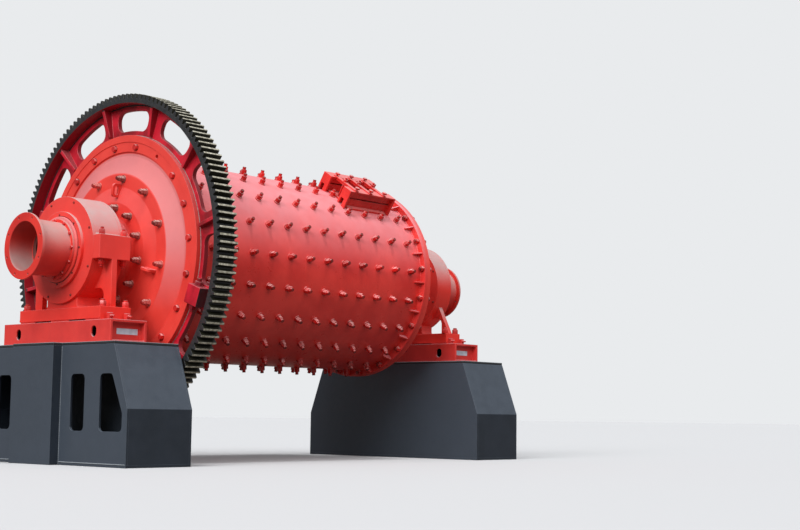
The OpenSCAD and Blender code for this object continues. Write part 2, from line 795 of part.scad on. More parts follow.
module ped_top_plate(end) {
    color(steel_grey) at_bearing(end)
        translate([0, 0, ped_top - ped_plate_t]) linear_extrude(height = ped_plate_t) polygon([
            [-ped_out, -ped_top_w / 2], [ped_depth - ped_out, -ped_top_w / 2],
            [ped_depth - ped_out, ped_top_w / 2], [-ped_out, ped_top_w / 2],
            [-ped_out, column_w / 2], [-ped_out - column_out, column_w / 2],
            [-ped_out - column_out, -column_w / 2], [-ped_out, -column_w / 2]
        ]);
}

module ped_outer_plate(end) {
    color(steel_grey) at_bearing(end) ped_plate(0, true);
}

module ped_inner_plate(end) {
    color(steel_grey) at_bearing(end) ped_plate(ped_depth - ped_t, false);
}

module ped_sides(end) {
    color(steel_grey) at_bearing(end)
        translate([-ped_out + ped_t, 0, 0]) rotate([90, 0, 90])
            linear_extrude(height = ped_depth - 2 * ped_t) for (s = [-1, 1]) scale([s, 1, 1]) polygon([
                [ped_w / 2, ped_plate_t], [ped_w / 2, ped_kink_h], [ped_top_w / 2, ped_top - ped_plate_t],
                [ped_top_w / 2 - ped_t, ped_top - ped_plate_t], [ped_w / 2 - ped_t, ped_kink_h],
                [ped_w / 2 - ped_t, ped_plate_t]
            ]);
}

module ped_column(end) {
    height = ped_top - ped_plate_t;
    color(steel_grey) at_bearing(end) difference() {
        translate([-ped_out - column_out, -column_w / 2, 0]) cube([column_out, column_w, height]);
        translate([-ped_out - column_out + ped_t, -column_w / 2 + ped_t, -eps])
            cube([column_out, column_w - 2 * ped_t, height + 2 * eps]);
    }
}

ped_base_plate(DISCHARGE);  // discharge_pedestal_base_plate
ped_outer_plate(DISCHARGE);  // discharge_pedestal_outer_plate
ped_inner_plate(DISCHARGE);  // discharge_pedestal_inner_plate
ped_sides(DISCHARGE);  // discharge_pedestal_sides
ped_column(DISCHARGE);  // discharge_pedestal_column
ped_top_plate(DISCHARGE);  // discharge_pedestal_top_plate
sole_plate(DISCHARGE);  // discharge_sole_plate
discharge_bearing_base();
discharge_bearing_cap();
color(mill_red) end_cover(DISCHARGE, -1);  // discharge_outer_cover
color(mill_red) end_cover(DISCHARGE, 1);  // discharge_inner_cover
color(mill_red) seal_ring(DISCHARGE);  // discharge_seal_ring
color("silver") bearing_ring(DISCHARGE);  // discharge_bearing_ring
ped_base_plate(FEED);  // feed_pedestal_base_plate
ped_outer_plate(FEED);  // feed_pedestal_outer_plate
ped_inner_plate(FEED);  // feed_pedestal_inner_plate
ped_sides(FEED);  // feed_pedestal_sides
ped_column(FEED);  // feed_pedestal_column
ped_top_plate(FEED);  // feed_pedestal_top_plate
sole_plate(FEED);  // feed_sole_plate
feed_bearing_housing();
color(mill_red) end_cover(FEED, -1);  // feed_outer_cover
color(mill_red) end_cover(FEED, 1);  // feed_inner_cover
color(mill_red) seal_ring(FEED);  // feed_seal_ring
color("silver") bearing_ring(FEED);  // feed_bearing_ring
shell();
gear_end_shell_flange();
feed_end_shell_flange();
shell_gussets();
discharge_head();
feed_head();
discharge_spout();
feed_spout();
girth_gear_upper_half();
girth_gear_lower_half();
manhole_frame();
manhole_cover();
manhole_bearers();
manhole_bridges();
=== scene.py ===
"""Looks of the overflow ball mill: enamel, castings, bolts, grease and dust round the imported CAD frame.

Everything is in metres in the row frame: +X runs from the discharge end to the feed end, +Z is up, and the
drum turns about the line y = 0, z = AXIS_Z. A clock angle is seen from the discharge end: 0 degrees points
to -Y and 90 degrees points up.
"""

import logging
import math
from dataclasses import dataclass, replace
from enum import Enum
from typing import Callable, Optional, Sequence

import bmesh
import bpy
import numpy as np
from mathutils import Matrix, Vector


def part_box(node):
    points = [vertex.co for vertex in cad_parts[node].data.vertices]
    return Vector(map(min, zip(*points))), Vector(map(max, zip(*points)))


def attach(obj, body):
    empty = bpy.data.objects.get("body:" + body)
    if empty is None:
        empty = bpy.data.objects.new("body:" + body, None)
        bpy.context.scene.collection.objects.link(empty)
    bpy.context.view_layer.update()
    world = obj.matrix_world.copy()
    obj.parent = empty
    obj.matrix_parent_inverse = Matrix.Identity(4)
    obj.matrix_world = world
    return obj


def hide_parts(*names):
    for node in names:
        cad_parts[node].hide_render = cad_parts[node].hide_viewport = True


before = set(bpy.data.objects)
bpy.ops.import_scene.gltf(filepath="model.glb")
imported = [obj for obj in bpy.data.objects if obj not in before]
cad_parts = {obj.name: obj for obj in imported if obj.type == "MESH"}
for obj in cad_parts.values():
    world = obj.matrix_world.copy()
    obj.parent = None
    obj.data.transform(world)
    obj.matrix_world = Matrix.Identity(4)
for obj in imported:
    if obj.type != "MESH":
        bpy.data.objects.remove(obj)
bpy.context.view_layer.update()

LOG = logging.getLogger("mill")
AXIS_Z = 1.85
MM = 0.001
UP = (0.0, 0.0, 1.0)


class Body(Enum):
    """The two bodies of the mill."""

    SUPPORTS = "supports"
    DRUM = "drum"


class Slot(Enum):
    """The record's material slots, each used on one body only."""

    SHELL = "shell_paint"
    CASTING = "casting_paint"
    HOUSING = "housing_paint"
    GEAR = "gear_paint"
    PEDESTAL = "pedestal_paint"

    @property
    def body(self) -> Body:
        """The body whose pieces have the slot."""
        return Body.SUPPORTS if self in (Slot.HOUSING, Slot.PEDESTAL) else Body.DRUM


class Outline(Enum):
    """Cross-section of one level of a fastener, where it isn't round."""

    HEX = "hex"


class End(Enum):
    """An end of the mill and the direction in X in which it looks outwards."""

    DISCHARGE = -1
    FEED = 1

    @property
    def word(self) -> str:
        """The end's name as the CAD nodes spell it."""
        return self.name.lower()

    @property
    def out(self) -> tuple[float, float, float]:
        """The direction in which the end looks outwards."""
        return float(self.value), 0.0, 0.0

    def face(self, node: str, outer: bool = True) -> float:
        """X of a node's face that looks outwards at this end, or of its other face."""
        low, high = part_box(node)
        return (high if (self is End.FEED) == outer else low).x


# Surfaces as arrays

Reals = np.ndarray | Sequence[float] | float


@dataclass(frozen=True)
class Patch:
    """A surface as arrays: points (n, 3), all faces' corners in one row, and each face's count of corners."""

    points: np.ndarray
    corners: np.ndarray
    counts: np.ndarray

    def copied(self, places: np.ndarray) -> "Patch":
        """Repeat the patch: every point is multiplied by every matrix in one product.

        Args:
            places: Array (k, 4, 4) of matrices.

        Returns:
            One patch with k copies.
        """
        moved = np.einsum("kij,nj->kni", places[:, :3, :3], self.points) + places[:, None, :3, 3]
        corners = self.corners[None, :] + len(self.points) * np.arange(len(places))[:, None]
        return Patch(moved.reshape(-1, 3), corners.ravel(), np.tile(self.counts, len(places)))

    @staticmethod
    def joined(patches: Sequence["Patch"]) -> "Patch":
        """Put several patches into one, each one's corners counted on from the last."""
        starts = np.cumsum([0] + [len(p.points) for p in patches[:-1]])
        return Patch(
            np.concatenate([p.points for p in patches]),
            np.concatenate([p.corners + s for p, s in zip(patches, starts)]),
            np.concatenate([p.counts for p in patches]),
        )


def skin(rings: np.ndarray, around: bool = False, caps: bool = True) -> Patch:
    """Stretch a skin over rings: point j of ring i joins point j of ring i + 1, and j wraps round.

    Args:
        rings: Array (rings, points, 3), each ring anticlockwise seen from the far end.
        around: Join the last ring to the first, as on a torus.
        caps: Close both ends with one face each.

    Returns:
        The closed patch.
    """
    rows, size = rings.shape[:2]
    i = np.arange(rows if around else rows - 1)[:, None]
    j = np.arange(size)[None, :]
    far, after = (i + 1) % rows, (j + 1) % size
    quads = np.stack([i * size + j, i * size + after, far * size + after, far * size + j], -1)
    corners, counts = quads.ravel(), np.full(quads.size // 4, 4)
    if caps and not around:
        ends = [np.arange(size)[::-1], (rows - 1) * size + np.arange(size)]
        corners, counts = np.concatenate([corners, *ends]), np.append(counts, [size, size])
    return Patch(rings.reshape(-1, 3), corners, counts)


def stacked(levels: Sequence[tuple]) -> Patch:
    """A fastener as outlines of twelve points stacked along Z.

    A round level is a circle. On a hexagon the radius at angle t is R cos 30 / cos(t mod 60 - 30).

    Args:
        levels: (height in mm, radius over the corners in mm) from the root to the tip, and Outline.HEX after
            them where the level is a hexagon.

    Returns:
        The closed patch, in metres.
    """
    t = np.arange(12) * 2 * np.pi / 12
    hexagon = math.cos(math.pi / 6) / np.cos(np.mod(t, math.pi / 3) - math.pi / 6)
    heights, radii = np.array([level[:2] for level in levels], float).T[:, :, None]
    shape = np.array([hexagon if Outline.HEX in level else np.ones(12) for level in levels])
    rings = np.stack([radii * shape * np.cos(t), radii * shape * np.sin(t), heights + 0 * t], -1)
    return skin(rings * MM)


def revolved(profile_mm: Sequence[tuple[float, float]], steps: int = 120) -> Patch:
    """A closed outline of (along, radius) turned round Z: x = r cos t, y = r sin t, z = along.

    Args:
        profile_mm: The outline in mm, its outer side in the direction of growing along.
        steps: Points round the axis.

    Returns:
        The closed ring.
    """
    along, radius = np.array(profile_mm, float).T[:, :, None] * MM
    t = np.arange(steps)[None, :] * 2 * np.pi / steps
    return skin(np.stack([radius * np.cos(t), radius * np.sin(t), along + 0 * t], -1), around=True)


def blocks(boxes_mm: Sequence[tuple[float, float, float, float, float, float]]) -> Patch:
    """Rectangular bars, each given in mm by its low and high X, Y and Z, as eight corners and six faces."""
    low, high = np.array(boxes_mm, float)[:, 0::2] * MM, np.array(boxes_mm, float)[:, 1::2] * MM
    pick = np.array([[i & 1, i >> 1 & 1, i >> 2] for i in range(8)])
    points = low[:, None, :] * (1 - pick) + high[:, None, :] * pick
    faces = np.array([[0, 2, 3, 1], [4, 5, 7, 6], [0, 1, 5, 4], [2, 6, 7, 3], [0, 4, 6, 2], [1, 3, 7, 5]])
    corners = faces.ravel()[None, :] + 8 * np.arange(len(low))[:, None]
    return Patch(points.reshape(-1, 3), corners.ravel(), np.full(6 * len(low), 4))


def swept(path: np.ndarray, side: np.ndarray, radius: Reals, size: int, closed: bool = False) -> Patch:
    """Carry a circle along a path: path + radius (cos t side + sin t (ahead x side)).

    Args:
        path: Points (n, 3) in metres, close together.
        side: Unit vectors (n, 3) across the path.
        radius: In metres, one for all points or an array (n, 1, 1).
        size: Points on the circle.
        closed: The path comes back to its start.

    Returns:
        The closed patch.
    """
    third = np.cross(ahead_of(path, closed), side)
    t = np.arange(size) * 2 * np.pi / size
    ring = np.cos(t)[None, :, None] * side[:, None, :] + np.sin(t)[None, :, None] * third[:, None, :]
    return skin(path[:, None, :] + radius * ring, around=closed, caps=not closed)


def ahead_of(path: np.ndarray, closed: bool) -> np.ndarray:
    """Unit vectors along a path, each the difference of the two neighbours."""
    ahead = np.roll(path, -1, 0) - np.roll(path, 1, 0)
    if not closed:
        ahead[0], ahead[-1] = path[1] - path[0], path[-1] - path[-2]
    return ahead / np.linalg.norm(ahead, axis=1)[:, None]


def weld_bead(path: np.ndarray, size_mm: float, closed: bool = False) -> Patch:
    """A weld bead: a circle of seven points carried along a path, its radius swelling once every 9 mm.

    Args:
        path: Points (n, 3) in metres, close together.
        size_mm: Radius of the bead.
        closed: The path comes back to its start.

    Returns:
        The bead.
    """
    side = np.cross(ahead_of(path, closed), [0.31, 0.57, 0.76])
    side /= np.linalg.norm(side, axis=1)[:, None]
    run = np.concatenate([[0], np.cumsum(np.linalg.norm(np.diff(path, axis=0), axis=1))])
    swell = size_mm * MM * (1 + 0.12 * np.sin(run / (9 * MM) * 2 * np.pi))[:, None, None]
    return swept(path, side, swell, 7, closed)


def line(start: Sequence[float], end: Sequence[float], step: float = 0.006) -> np.ndarray:
    """Points in metres along a straight line, a step apart."""
    start, end = np.array(start, float), np.array(end, float)
    count = max(3, int(np.linalg.norm(end - start) / step))
    return start + (end - start) * np.linspace(0, 1, count)[:, None]


def clock(angles: np.ndarray) -> np.ndarray:
    """Unit vectors at clock angles in degrees: (0, -cos a, sin a)."""
    a = np.radians(np.atleast_1d(angles).astype(float))
    return np.stack([0 * a, -np.cos(a), np.sin(a)], -1)


def on_drum(x: float, radius: float, angles: np.ndarray) -> np.ndarray:
    """Points at one X and radius about the drum's axis, one for each clock angle."""
    return np.array([x, 0, AXIS_Z]) + radius * clock(angles)


def axis_radius(points: np.ndarray) -> np.ndarray:
    """Distance of points (n, 3) from the drum's axis."""
    return np.hypot(points[:, 1], points[:, 2] - AXIS_Z)


def at_axis(x: float) -> np.ndarray:
    """The point on the drum's axis at one X, as an array (1, 3)."""
    return np.array([[x, 0, AXIS_Z]])


def four(x: np.ndarray, y: float, z: float) -> np.ndarray:
    """Four points at two X, each at minus y and at y."""
    return np.array([[each, side * y, z] for each in x for side in (-1, 1)])


def middle_x(node: str) -> float:
    """X half way along a node's box."""
    low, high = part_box(node)
    return (low.x + high.x) / 2


def shell_radius() -> float:
    """The shell's outer radius, from its box."""
    low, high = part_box("shell")
    return (high.z - low.z) / 2


def facing(origins: np.ndarray, directions: Reals, seed: Optional[int] = None) -> np.ndarray:
    """Matrices that put a shape's Z on a direction.

    X is the cross product of the direction and the main axis that lies furthest from it, and Y completes
    the frame. With a seed each shape is also turned about its own Z, as nuts come to rest at any angle.

    Args:
        origins: Points (k, 3).
        directions: Vectors (k, 3) or one vector.
        seed: Start of the random turns, or None for no turn.

    Returns:
        Array (k, 4, 4).
    """
    z = np.broadcast_to(np.asarray(directions, float), origins.shape)
    z = z / np.linalg.norm(z, axis=1)[:, None]
    x = np.cross(np.where(np.abs(z[:, :1]) < 0.7, [[1.0, 0, 0]], [[0, 0, 1.0]]), z)
    x /= np.linalg.norm(x, axis=1)[:, None]
    y = np.cross(z, x)
    turn = np.zeros(len(origins))
    if seed is not None:
        turn = np.random.default_rng(seed).uniform(0, 6.28, len(origins))
    c, s = np.cos(turn)[:, None], np.sin(turn)[:, None]
    places = np.tile(np.eye(4), (len(origins), 1, 1))
    places[:, :3, 0], places[:, :3, 1] = c * x + s * y, c * y - s * x
    places[:, :3, 2], places[:, :3, 3] = z, origins
    return places


# Materials

Tree, Node, Socket = bpy.types.NodeTree, bpy.types.Node, bpy.types.NodeSocket
Given = Node | Socket | str | float | tuple[float, ...]


def to_linear(code: str) -> tuple[float, float, float, float]:
    """Turn an sRGB hex colour to linear light: c / 12.92 where it is dark, or ((c + 0.055) / 1.055) ^ 2.4."""
    srgb = [int(code[i : i + 2], 16) / 255 for i in (1, 3, 5)]
    return (*[c / 12.92 if c <= 0.04045 else ((c + 0.055) / 1.055) ** 2.4 for c in srgb], 1.0)


def add(tree: Tree, kind: str, *inputs: Given, **settings: Given) -> Node:
    """Add one node.

    Args:
        tree: The node tree.
        kind: Node type without its leading ShaderNode.
        inputs: What the inputs in use are given, in order: a value, a hex colour, or a node or socket to link
            from. A node stands for its first output in use.
        settings: Values of its properties, and what further inputs are given, by name.

    Returns:
        The node.
    """
    node = tree.nodes.new("ShaderNode" + kind)
    for name in [name for name in settings if name not in node.inputs]:
        setattr(node, name, settings.pop(name))
    sockets = [socket for socket in node.inputs if socket.enabled][: len(inputs)]
    sockets += [node.inputs[name] for name in settings]
    for socket, given in zip(sockets, [*inputs, *settings.values()]):
        if isinstance(given, Node):
            given = next(output for output in given.outputs if output.enabled)
        if isinstance(given, Socket):
            tree.links.new(given, socket)
        else:
            socket.default_value = to_linear(given) if isinstance(given, str) else given
    return node


def patches(tree: Tree, where: Socket, size_mm: float, detail: float, limits: tuple[float, ...]) -> Node:
    """Patches about size_mm across: noise between two limits becomes 0 to 1, or goes to two more limits."""
    spots = add(tree, "TexNoise", where, Scale=1 / (size_mm * MM), Detail=detail, Roughness=0.55)
    return add(tree, "MapRange", spots, *limits)


def relief(
    tree: Tree, where: Socket, size_mm: float, detail: float, depth_mm: float, strength: float, **under: Node
) -> Node:
    """Bend the normal by bumps about size_mm across and depth_mm high, over the Normal given by under."""
    height = add(tree, "TexNoise", where, Scale=1 / (size_mm * MM), Detail=detail, Roughness=0.55)
    return add(tree, "Bump", Strength=strength, Distance=depth_mm * MM, Height=height, **under)


def from_axis(tree: Tree, where: Socket) -> tuple[Node, Node]:
    """The arm from the drum's axis to a point, (0, y, z - AXIS_Z), and its length, which is the radius."""
    arm = add(tree, "VectorMath", where, (0.0, 1.0, 1.0), (0.0, 0.0, -AXIS_Z), operation="MULTIPLY_ADD")
    return arm, add(tree, "VectorMath", arm, operation="LENGTH")


def along_mill(tree: Tree, place: Node) -> Node:
    """How far a face looks along the mill: |nx|."""
    axes = add(tree, "SeparateXYZ", place.outputs["Normal"])
    return add(tree, "Math", axes.outputs["X"], operation="ABSOLUTE")


@dataclass(frozen=True)
class Finish:
    """What every finish has: a name, and a material that is made once."""

    name: str

    def material(self) -> bpy.types.Material:
        """The finish as a Blender material, made the first time it is asked for."""
        found = bpy.data.materials.get(self.name)
        if found is None:
            found = bpy.data.materials.new(self.name)
            found.use_nodes = True
            tree = found.node_tree
            tree.nodes.clear()
            add(tree, "OutputMaterial", add(tree, "BsdfPrincipled", **self.dress(tree)))
        return found

    def dress(self, tree: Tree) -> dict[str, Given]:
        """Add the finish's own nodes and say what the shader's inputs are given."""
        raise NotImplementedError


@dataclass(frozen=True)
class Enamel(Finish):
    """Alkyd enamel sprayed on steel or on cast iron, with dust that has settled on what looks up."""

    colour: str = "#dc332e"
    deep: str = "#cb2a26"
    # dust_colour also paints sky sheen and highlights on the glossy enamels, and painted light on the
    # pedestals' ends
    dust_colour: str = "#d2bcb8"
    dust: float = 0.7
    film: float = 0.05
    full_at: float = 0.9
    skin_mm: float = 5.0
    skin_depth_mm: float = 0.25
    roughness: float = 0.42
    starts_at: float = -0.12
    tone_mm: float = 400.0
    gloss_mm: float = 60.0
    cloud_mm: float = 120.0
    dust_matt: float = 0.35

    def dress(self, tree: Tree) -> dict[str, Given]:
        """Tone in wide patches, faint runs down the surface, a film of dust that dulls it, casting skin."""
        place = add(tree, "TexCoord")
        where = place.outputs["Object"]
        tone = patches(tree, where, self.tone_mm, 4, (0.38, 0.62))
        tone = add(tree, "Mix", tone, self.deep, self.colour, data_type="RGBA")
        drawn_out = add(tree, "Mapping", where, Scale=(14.0, 14.0, 1.6))
        runs = add(tree, "TexNoise", drawn_out, Scale=1.0, Detail=4.0)
        runs = add(tree, "MapRange", runs, 0.5, 0.75, 0.0, 0.3)
        tone = add(tree, "Mix", runs, tone, self.deep, data_type="RGBA")
        dust_and_light_share = self.dust_and_painted_light(tree, place)
        limits = (0.3, 0.7, self.roughness - 0.06, self.roughness + 0.08)
        gloss = patches(tree, where, self.gloss_mm, 3, limits)
        wide = relief(tree, where, 9 * self.skin_mm, 2, 2.0 * self.skin_depth_mm, 0.35)
        return {
            "Base Color": add(tree, "Mix", dust_and_light_share, tone, self.dust_colour, data_type="RGBA"),
            "Roughness": add(tree, "Math", dust_and_light_share, self.dust_matt, gloss, operation="MULTIPLY_ADD"),
            "Normal": relief(tree, where, self.skin_mm, 3, self.skin_depth_mm, 0.5, Normal=wide),
        }

    def dust_and_painted_light(self, tree: Tree, place: Node) -> Node:
        """Share of dust, and on the glossy shell, bolts and manhole also of painted sky sheen and highlight:
        a thin film everywhere, and more the further a face looks up.

        The share grows along a smooth step of the normal's Z, which starts a little below level so that no
        line shows half way up a barrel, and clouds break it up.
        """
        up = add(tree, "SeparateXYZ", place.outputs["Normal"]).outputs["Z"]
        up = add(tree, "MapRange", up, self.starts_at, self.full_at, interpolation_type="SMOOTHSTEP")
        limits = (0.3, 0.65, 0.8 * self.dust, self.dust)
        cloud = patches(tree, place.outputs["Object"], self.cloud_mm, 6, limits)
        dust_and_light_share = add(tree, "Math", up, cloud, operation="MULTIPLY")
        return add(tree, "Math", dust_and_light_share, self.film, operation="ADD")


@dataclass(frozen=True)
class HeadEnamel(Enamel):
    """Casting enamel of a head, whose wide cone holds a pale haze, partly dust and partly painted sky sheen,
    and whose journal is dusty grey.
    """

    cone_in: float = 0.752
    cone_out: float = 0.942
    journal_r: float = 0.293
    blur: float = 0.004

    def dust_and_painted_light(self, tree: Tree, place: Node) -> Node:
        """Dust as on any casting, plus painted sky sheen mixed with dust on the cone, told by its radius,
        that fades out below level.
        """
        arm, radius = from_axis(tree, place.outputs["Object"])
        height = add(tree, "SeparateXYZ", arm).outputs["Z"]
        blur, low, high = self.blur, self.cone_in, self.cone_out
        inside = add(tree, "MapRange", radius, low - blur, low + blur)
        outside = add(tree, "MapRange", radius, high - blur, high + blur, 1.0, 0.0)
        cone = add(tree, "Math", inside, outside, operation="MULTIPLY")
        fade = add(tree, "MapRange", height, -0.55, 0.1, 0.0, 0.46)
        # Painted sky sheen on the cone, strongest on its upper half
        sheen_and_dust = add(tree, "Math", cone, fade, operation="MULTIPLY")
        journal = add(tree, "MapRange", radius, self.journal_r - blur, self.journal_r, 1.0, 0.0)
        upper = add(tree, "MapRange", height, -0.1, 0.2, 0.0, 0.5)
        journal = add(tree, "Math", journal, upper, operation="MULTIPLY")
        sheen_and_dust = add(tree, "Math", sheen_and_dust, journal, operation="MAXIMUM")
        return add(tree, "Math", super().dust_and_painted_light(tree, place), sheen_and_dust, operation="MAXIMUM")


@dataclass(frozen=True)
class HousingEnamel(Enamel):
    """Casting enamel of a bearing housing, with less pale dust on the foot under the barrel as painted shade.
    """

    shade_below_z: float = 1.42
    unshaded_above_z: float = 1.62

    def dust_and_painted_light(self, tree: Tree, place: Node) -> Node:
        """Dust as on any casting, down to a fifth of it below the barrel's middle height, which paints the
        shade under the barrel.
        """
        height = add(tree, "SeparateXYZ", place.outputs["Object"]).outputs["Z"]
        share = add(tree, "MapRange", height, self.shade_below_z, self.unshaded_above_z, 0.2, 1.0)
        return add(tree, "Math", super().dust_and_painted_light(tree, place), share, operation="MULTIPLY")


@dataclass(frozen=True)
class SpoutEnamel(Enamel):
    """Casting enamel of a spout, brown with dust down its round sides but clean on its flat end, and painted
    dark inside as painted shade.
    """

    # inner is the painted shade inside the bore, inner_dust the dust on its floor
    inner: str = "#642821"
    inner_dust: str = "#b8a49c"
    inner_r: float = 0.1995

    def dress(self, tree: Tree) -> dict[str, Given]:
        """Enamel outside; within inner_r of the axis a dark brown as painted shade of the bore, and pale
        where dust lies below.
        """
        looks = super().dress(tree)
        place = add(tree, "TexCoord")
        _, radius = from_axis(tree, place.outputs["Object"])
        up = add(tree, "SeparateXYZ", place.outputs["Normal"]).outputs["Z"]
        floor = add(tree, "MapRange", up, -0.1, 0.7, 0.0, 0.8)
        wall = add(tree, "Mix", floor, self.inner, self.inner_dust, data_type="RGBA")
        inside = add(tree, "Math", radius, self.inner_r, operation="LESS_THAN")
        looks["Base Color"] = add(tree, "Mix", inside, looks["Base Color"], wall, data_type="RGBA")
        return looks

    def dust_and_painted_light(self, tree: Tree, place: Node) -> Node:
        """Dust as on any casting on the round sides, and none on the flat end, where |nx| is over 0.9."""
        round_side = add(tree, "MapRange", along_mill(tree, place), 0.3, 0.9, 1.0, 0.0)
        return add(tree, "Math", super().dust_and_painted_light(tree, place), round_side, operation="MULTIPLY")


@dataclass(frozen=True)
class SoleEnamel(Enamel):
    """Casting enamel of a sole plate, whose hollow inside is painted dark as painted shade."""

    # inside is the painted shade of the hollow
    inside: str = "#1b1110"
    middle_x: float = 0.0
    half_x: float = 0.178
    half_y: float = 0.71
    middle_z: float = 1.1
    half_z: float = 0.09

    def dress(self, tree: Tree) -> dict[str, Given]:
        """Enamel, and the painted shade's colour in the box given by a middle and a half size along each
        axis.
        """
        looks = super().dress(tree)
        axes = add(tree, "SeparateXYZ", add(tree, "TexCoord").outputs["Object"])
        within = [
            add(tree, "Math", axes.outputs[axis], middle, half, operation="COMPARE")
            for axis, middle, half in (
                ("X", self.middle_x, self.half_x), ("Y", 0.0, self.half_y), ("Z", self.middle_z, self.half_z)
            )
        ]
        hollow_shade = add(tree, "Math", within[0], within[1], operation="MULTIPLY")
        hollow_shade = add(tree, "Math", hollow_shade, within[2], operation="MULTIPLY")
        looks["Base Color"] = add(tree, "Mix", hollow_shade, looks["Base Color"], self.inside, data_type="RGBA")
        return looks


@dataclass(frozen=True)
class MachinePaint(Enamel):
    """Slate paint of the pedestals: dark on the sides, and paler as painted light on what looks along the
    mill.
    """

    # Share of painted light on the faces along the mill
    end_face_light: float = 0.3

    def dust_and_painted_light(self, tree: Tree, place: Node) -> Node:
        """Dust as on any enamel, plus painted light on the faces whose normal lies along X: the given share
        times |nx|.
        """
        base, along = super().dust_and_painted_light(tree, place), along_mill(tree, place)
        return add(tree, "Math", along, self.end_face_light, base, operation="MULTIPLY_ADD", use_clamp=True)


@dataclass(frozen=True)
class GearPaint(Finish):
    """Crimson enamel on the web, black paint and grease on the toothed rim, told apart by the radius."""

    colour: str = "#cc1b31"
    deep: str = "#880e1b"
    web_dust: str = "#e09aa0"
    rim: str = "#232527"
    rim_worn: str = "#393a3c"
    flank: str = "#24231a"
    land: str = "#8b8776"
    land_dust: str = "#c6c2b2"
    patch_mm: float = 260.0
    smear_mm: float = 26.0
    rim_in: float = 1.3962
    paint_in: float = 1.38
    # From this radius the joint blocks' outer ends are painted black as painted shade against the rim
    block_shade_from: float = 1.27
    root: float = 1.437
    tip: float = 1.48

    def dress(self, tree: Tree) -> dict[str, Given]:
        """Colour by the radius and by where a face looks: |nx| is 1 on the flat faces and 0 round the rim."""
        place = add(tree, "TexCoord")
        where = place.outputs["Object"]
        arm, radius = from_axis(tree, where)
        along = along_mill(tree, place)
        smear = add(tree, "TexNoise", where, Scale=1 / (self.smear_mm * MM), Detail=5, Roughness=0.55)
        black = self.black(tree, place, arm, radius, along)
        web = self.web(tree, place, along)
        rim = self.toothed_rim(tree, smear, radius, along)
        return {
            "Base Color": add(tree, "Mix", black, web, rim, data_type="RGBA"),
            "Roughness": add(tree, "MapRange", smear, 0.3, 0.7, 0.34, 0.5),
            "Normal": relief(tree, where, 6, 3, 0.4, 0.45),
        }

    def web(self, tree: Tree, place: Node, along: Node) -> Node:
        """Crimson in wide patches on the flat faces, and deep red as painted shade on the others, a little
        dust on top.
        """
        tone_and_shade = patches(tree, place.outputs["Object"], self.patch_mm, 4, (0.34, 0.56))
        # Faces that don't look along the mill get the deep red as painted shade
        flat = add(tree, "MapRange", along, 0.3, 0.9, 0.1, 1.0)
        tone_and_shade = add(tree, "Math", tone_and_shade, flat, operation="MINIMUM")
        web = add(tree, "Mix", tone_and_shade, self.deep, self.colour, data_type="RGBA")
        up = add(tree, "SeparateXYZ", place.outputs["Normal"]).outputs["Z"]
        dusty = add(tree, "MapRange", up, 0.2, 1.0, 0.0, 0.3)
        return add(tree, "Mix", dusty, web, self.web_dust, data_type="RGBA")

    def toothed_rim(self, tree: Tree, smear: Node, radius: Node, along: Node) -> Node:
        """Black paint with worn smears, greasy flanks past the teeth's roots, pale dust on their lands."""
        worn = add(tree, "MapRange", smear, 0.35, 0.7, 0.0, 0.6)
        rim = add(tree, "Mix", worn, self.rim, self.rim_worn, data_type="RGBA")
        past_root = add(tree, "MapRange", radius, self.root - 0.002, self.root + 0.002)
        around = add(tree, "Math", along, 0.6, operation="LESS_THAN")
        flank = add(tree, "Math", past_root, around, operation="MULTIPLY")
        rim = add(tree, "Mix", flank, rim, self.flank, data_type="RGBA")
        dusty = add(tree, "MapRange", smear, 0.4, 0.62)
        grease = add(tree, "Mix", dusty, self.land, self.land_dust, data_type="RGBA")
        land = add(tree, "MapRange", radius, self.tip - 0.0018, self.tip - 0.0010)
        return add(tree, "Mix", land, rim, grease, data_type="RGBA")

    def black(self, tree: Tree, place: Node, arm: Node, radius: Node, along: Node) -> Node:
        """Where the rim's black paint lies.

        It covers everything beyond rim_in, overlaps the web's flat faces down to paint_in, and is painted
        over the outer ends of the joint blocks, whose normal lies along the radius, as painted shade between
        block and rim.
        """
        black = add(tree, "MapRange", radius, self.rim_in, self.rim_in + 0.0008)
        unit = add(tree, "VectorMath", arm, operation="NORMALIZE")
        outward = add(tree, "VectorMath", unit, place.outputs["Normal"], operation="DOT_PRODUCT")
        rim_side_shade = add(tree, "MapRange", outward, 0.75, 0.9)
        flat = add(tree, "MapRange", along, 0.7, 0.8)
        for least, share in ((self.block_shade_from, rim_side_shade), (self.paint_in, flat)):
            beyond = add(tree, "Math", radius, least, operation="GREATER_THAN")
            share = add(tree, "Math", share, beyond, operation="MULTIPLY")
            black = add(tree, "Math", black, share, operation="MAXIMUM")
        return black


@dataclass(frozen=True)
class Metal(Finish):
    """Bare or oiled steel, turned or rolled, its roughness broken up by handling."""

    colour: str = "#8c8c8e"
    dull: str = "#5d5c5b"
    roughness: float = 0.38

    def dress(self, tree: Tree) -> dict[str, Given]:
        """Two greys in patches of 30 mm under fine turning marks of 2 mm."""
        where = add(tree, "TexCoord").outputs["Object"]
        spots = patches(tree, where, 30, 5, (0.35, 0.65))
        return {
            "Metallic": 1.0,
            "Base Color": add(tree, "Mix", spots, self.dull, self.colour, data_type="RGBA"),
            "Roughness": patches(tree, where, 30, 5, (0.3, 0.7, self.roughness, self.roughness + 0.15)),
            "Normal": relief(tree, where, 2, 2, 0.1, 0.3),
        }


